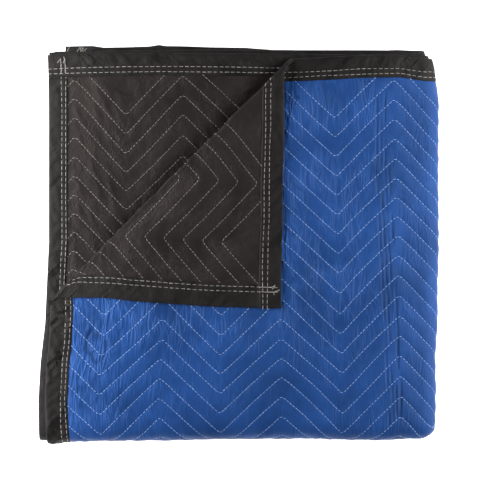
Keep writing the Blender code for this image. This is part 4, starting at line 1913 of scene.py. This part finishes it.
@dataclass(frozen=True)
class Studio:
    """A pale floor, two wide soft lights and a camera straight above the pack."""

    floor_size: float = 12.0
    floor_colour: Colour = (0.88, 0.88, 0.88)
    floor_roughness: float = 0.9
    floor_glow: float = 0.90
    lamps: tuple[Lamp, ...] = (Lamp((-0.52, 0.05, 0.28), 9.1), Lamp((0.68, 0.06, 0.42), 9.0))
    lamp_size: Span = (1.1, 0.38)
    sky: Colour = (0.97, 0.98, 1.0)
    sky_strength: float = 0.07
    backdrop_top: Span = (0.16, 0.30)  # upward part of a direction where the pale backdrop ends
    view_width: float = 0.6235  # of the pack's top that the camera takes in
    view_centre: Span = (0.2468, -0.2371)  # from the blanket's top left corner in the pack
    lens: float = 200.0  # millimetres, as the sensor's width is
    sensor: float = 36.0

    def build(self, pack: FoldedPack) -> None:
        """Set up the floor, lights, surroundings and camera.

        Args:
            pack: the folded blanket, which the camera looks down on.
        """
        self._floor()
        for lamp in self.lamps:
            self._hang(lamp)
        self._sky()
        self._camera(pack)

    def _floor(self) -> None:
        """Lay the floor under the pack."""
        half = self.floor_size / 2
        corners = np.array([(-half, -half, 0), (half, -half, 0), (half, half, 0), (-half, half, 0)])
        floor = make_piece("floor", corners, [(0, 1, 2, 3)])
        material, shader, _ = start_material("pale_floor")
        shader.inputs["Base Color"].default_value = (*self.floor_colour, 1)
        shader.inputs["Roughness"].default_value = self.floor_roughness
        shader.inputs["Emission Color"].default_value = (1, 1, 1, 1)
        shader.inputs["Emission Strength"].default_value = self.floor_glow
        floor.data.materials.append(material)

    def _hang(self, lamp: Lamp) -> None:
        """Hang a soft light and turn it to the pack.

        Args:
            lamp: where it hangs, and its power.
        """
        light = bpy.data.lights.new("soft_light", "AREA")
        light.shape = "RECTANGLE"
        light.size, light.size_y = self.lamp_size
        light.energy = lamp.power
        holder = put_in_scene(bpy.data.objects.new("soft_light", light))
        holder.location = lamp.place
        holder.rotation_euler = (-holder.location).to_track_quat("-Z", "Y").to_euler()
        holder.visible_camera = False

    def _sky(self) -> None:
        """Make the even surroundings: a pale backdrop round the floor, and a dim sky over it."""
        world = bpy.data.worlds.new("pale_surroundings")
        bpy.context.scene.world = world
        world.use_nodes = True
        background = world.node_tree.nodes["Background"]
        background.inputs["Color"].default_value = (*self.sky, 1)
        sketch = NodeSketch(world.node_tree)
        upward = sketch.part(sketch.add("ShaderNodeTexCoord", output="Generated"), "Z")
        low, high = self.backdrop_top
        strength = sketch.add("ShaderNodeMapRange", {
            "Value": upward, "From Min": low, "From Max": high, "To Min": self.floor_glow,
            "To Max": self.sky_strength}, interpolation_type="SMOOTHSTEP")
        world.node_tree.links.new(strength, background.inputs["Strength"])
        bpy.context.scene.view_settings.view_transform = "Standard"

    def _camera(self, pack: FoldedPack) -> None:
        """Set the camera straight above the pack's top face.

        Args:
            pack: the folded blanket.
        """
        data = bpy.data.cameras.new("camera")
        data.lens = self.lens
        data.sensor_width = self.sensor
        camera = put_in_scene(bpy.data.objects.new("camera", data))
        x, y = self.view_centre[0] + pack.origin[0], self.view_centre[1] + pack.origin[1]
        camera.location = (x, y, pack.top_height() + self.view_width * self.lens / self.sensor)
        bpy.context.scene.camera = camera


def report(piece: Piece) -> None:
    """Log a finished piece with its number of triangles."""
    piece.data.calc_loop_triangles()
    LOG.info("%s: %d triangles", piece.name, len(piece.data.loop_triangles))


def sew(pack: FoldedPack, surface: BlanketSurface) -> tuple[Piece, ...]:
    """Make all the stitches, which ride on the pack.

    Args:
        pack: the folds.
        surface: the heights that the thread lies on.

    Returns:
        The stitches of the face's quilting, of the backing's, and of the tapes, and the loose ends.
    """
    layout, tree = StitchLayout(surface), StitchTree()
    pale, grey, blue = PALE_THREAD.make(), GREY_THREAD.make(), BLUE_THREAD.make()
    jobs = (
        (Stitching("face_quilting_stitches", pitch=0.0051, dash=0.0041, seed=3),
         layout.quilting_lines(Side.FACE), blue),
        (Stitching("backing_quilting_stitches", pitch=0.0051, dash=0.0041, width=0.00066, seed=5),
         layout.quilting_lines(Side.BACKING), grey),
        (Stitching("binding_stitches", pitch=0.0074, dash=0.0056, width=0.00078, seed=7),
         layout.tape_lines(), pale),
        (Stitching("thread_ends", pitch=0.0008, dash=0.0013, width=0.0008, waver=0.00015, lift=0.00045,
                   seed=9), layout.end_lines(), pale),
    )
    sewn = tuple(stitching.build(lines, pack, surface, tree, finish) for stitching, lines, finish in jobs)
    for piece in sewn:
        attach(piece, "root")
        report(piece)
    return sewn


def main() -> None:
    """Build the blanket's pieces, dress them, and set up the studio."""
    logging.basicConfig(level=logging.INFO, format="%(name)s: %(message)s", stream=sys.stdout)
    pack = FoldedPack()
    pack.settle_on("face_cloth")
    surface = BlanketSurface(Quilting())
    face_stitches, backing_stitches, tape_stitches, _ = sew(pack, surface)

    cloths = (
        (QuiltedCloth("quilted_face", "face_cloth", "blue_face", Side.FACE, BLUE_CLOTH, FACE_WINDOWS),
         face_stitches),
        (QuiltedCloth("quilted_backing", "backing_cloth", "black_backing", Side.BACKING, BLACK_CLOTH,
                      BACKING_WINDOWS), backing_stitches),
    )
    for cloth, stitches in cloths:
        piece = cloth.build(pack, surface)
        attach(piece, "root")
        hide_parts(cloth.node)
        report(piece)

    tape_finish = BLACK_TAPE.make()
    for edge in EDGES:
        tape = BindingTape(edge, tape_finish)
        piece = tape.build(pack, surface)
        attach(piece, "root")
        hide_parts(edge.name)
        edge.run()
        report(piece)

    Studio().build(pack)


if __name__ == "__main__":
    main()
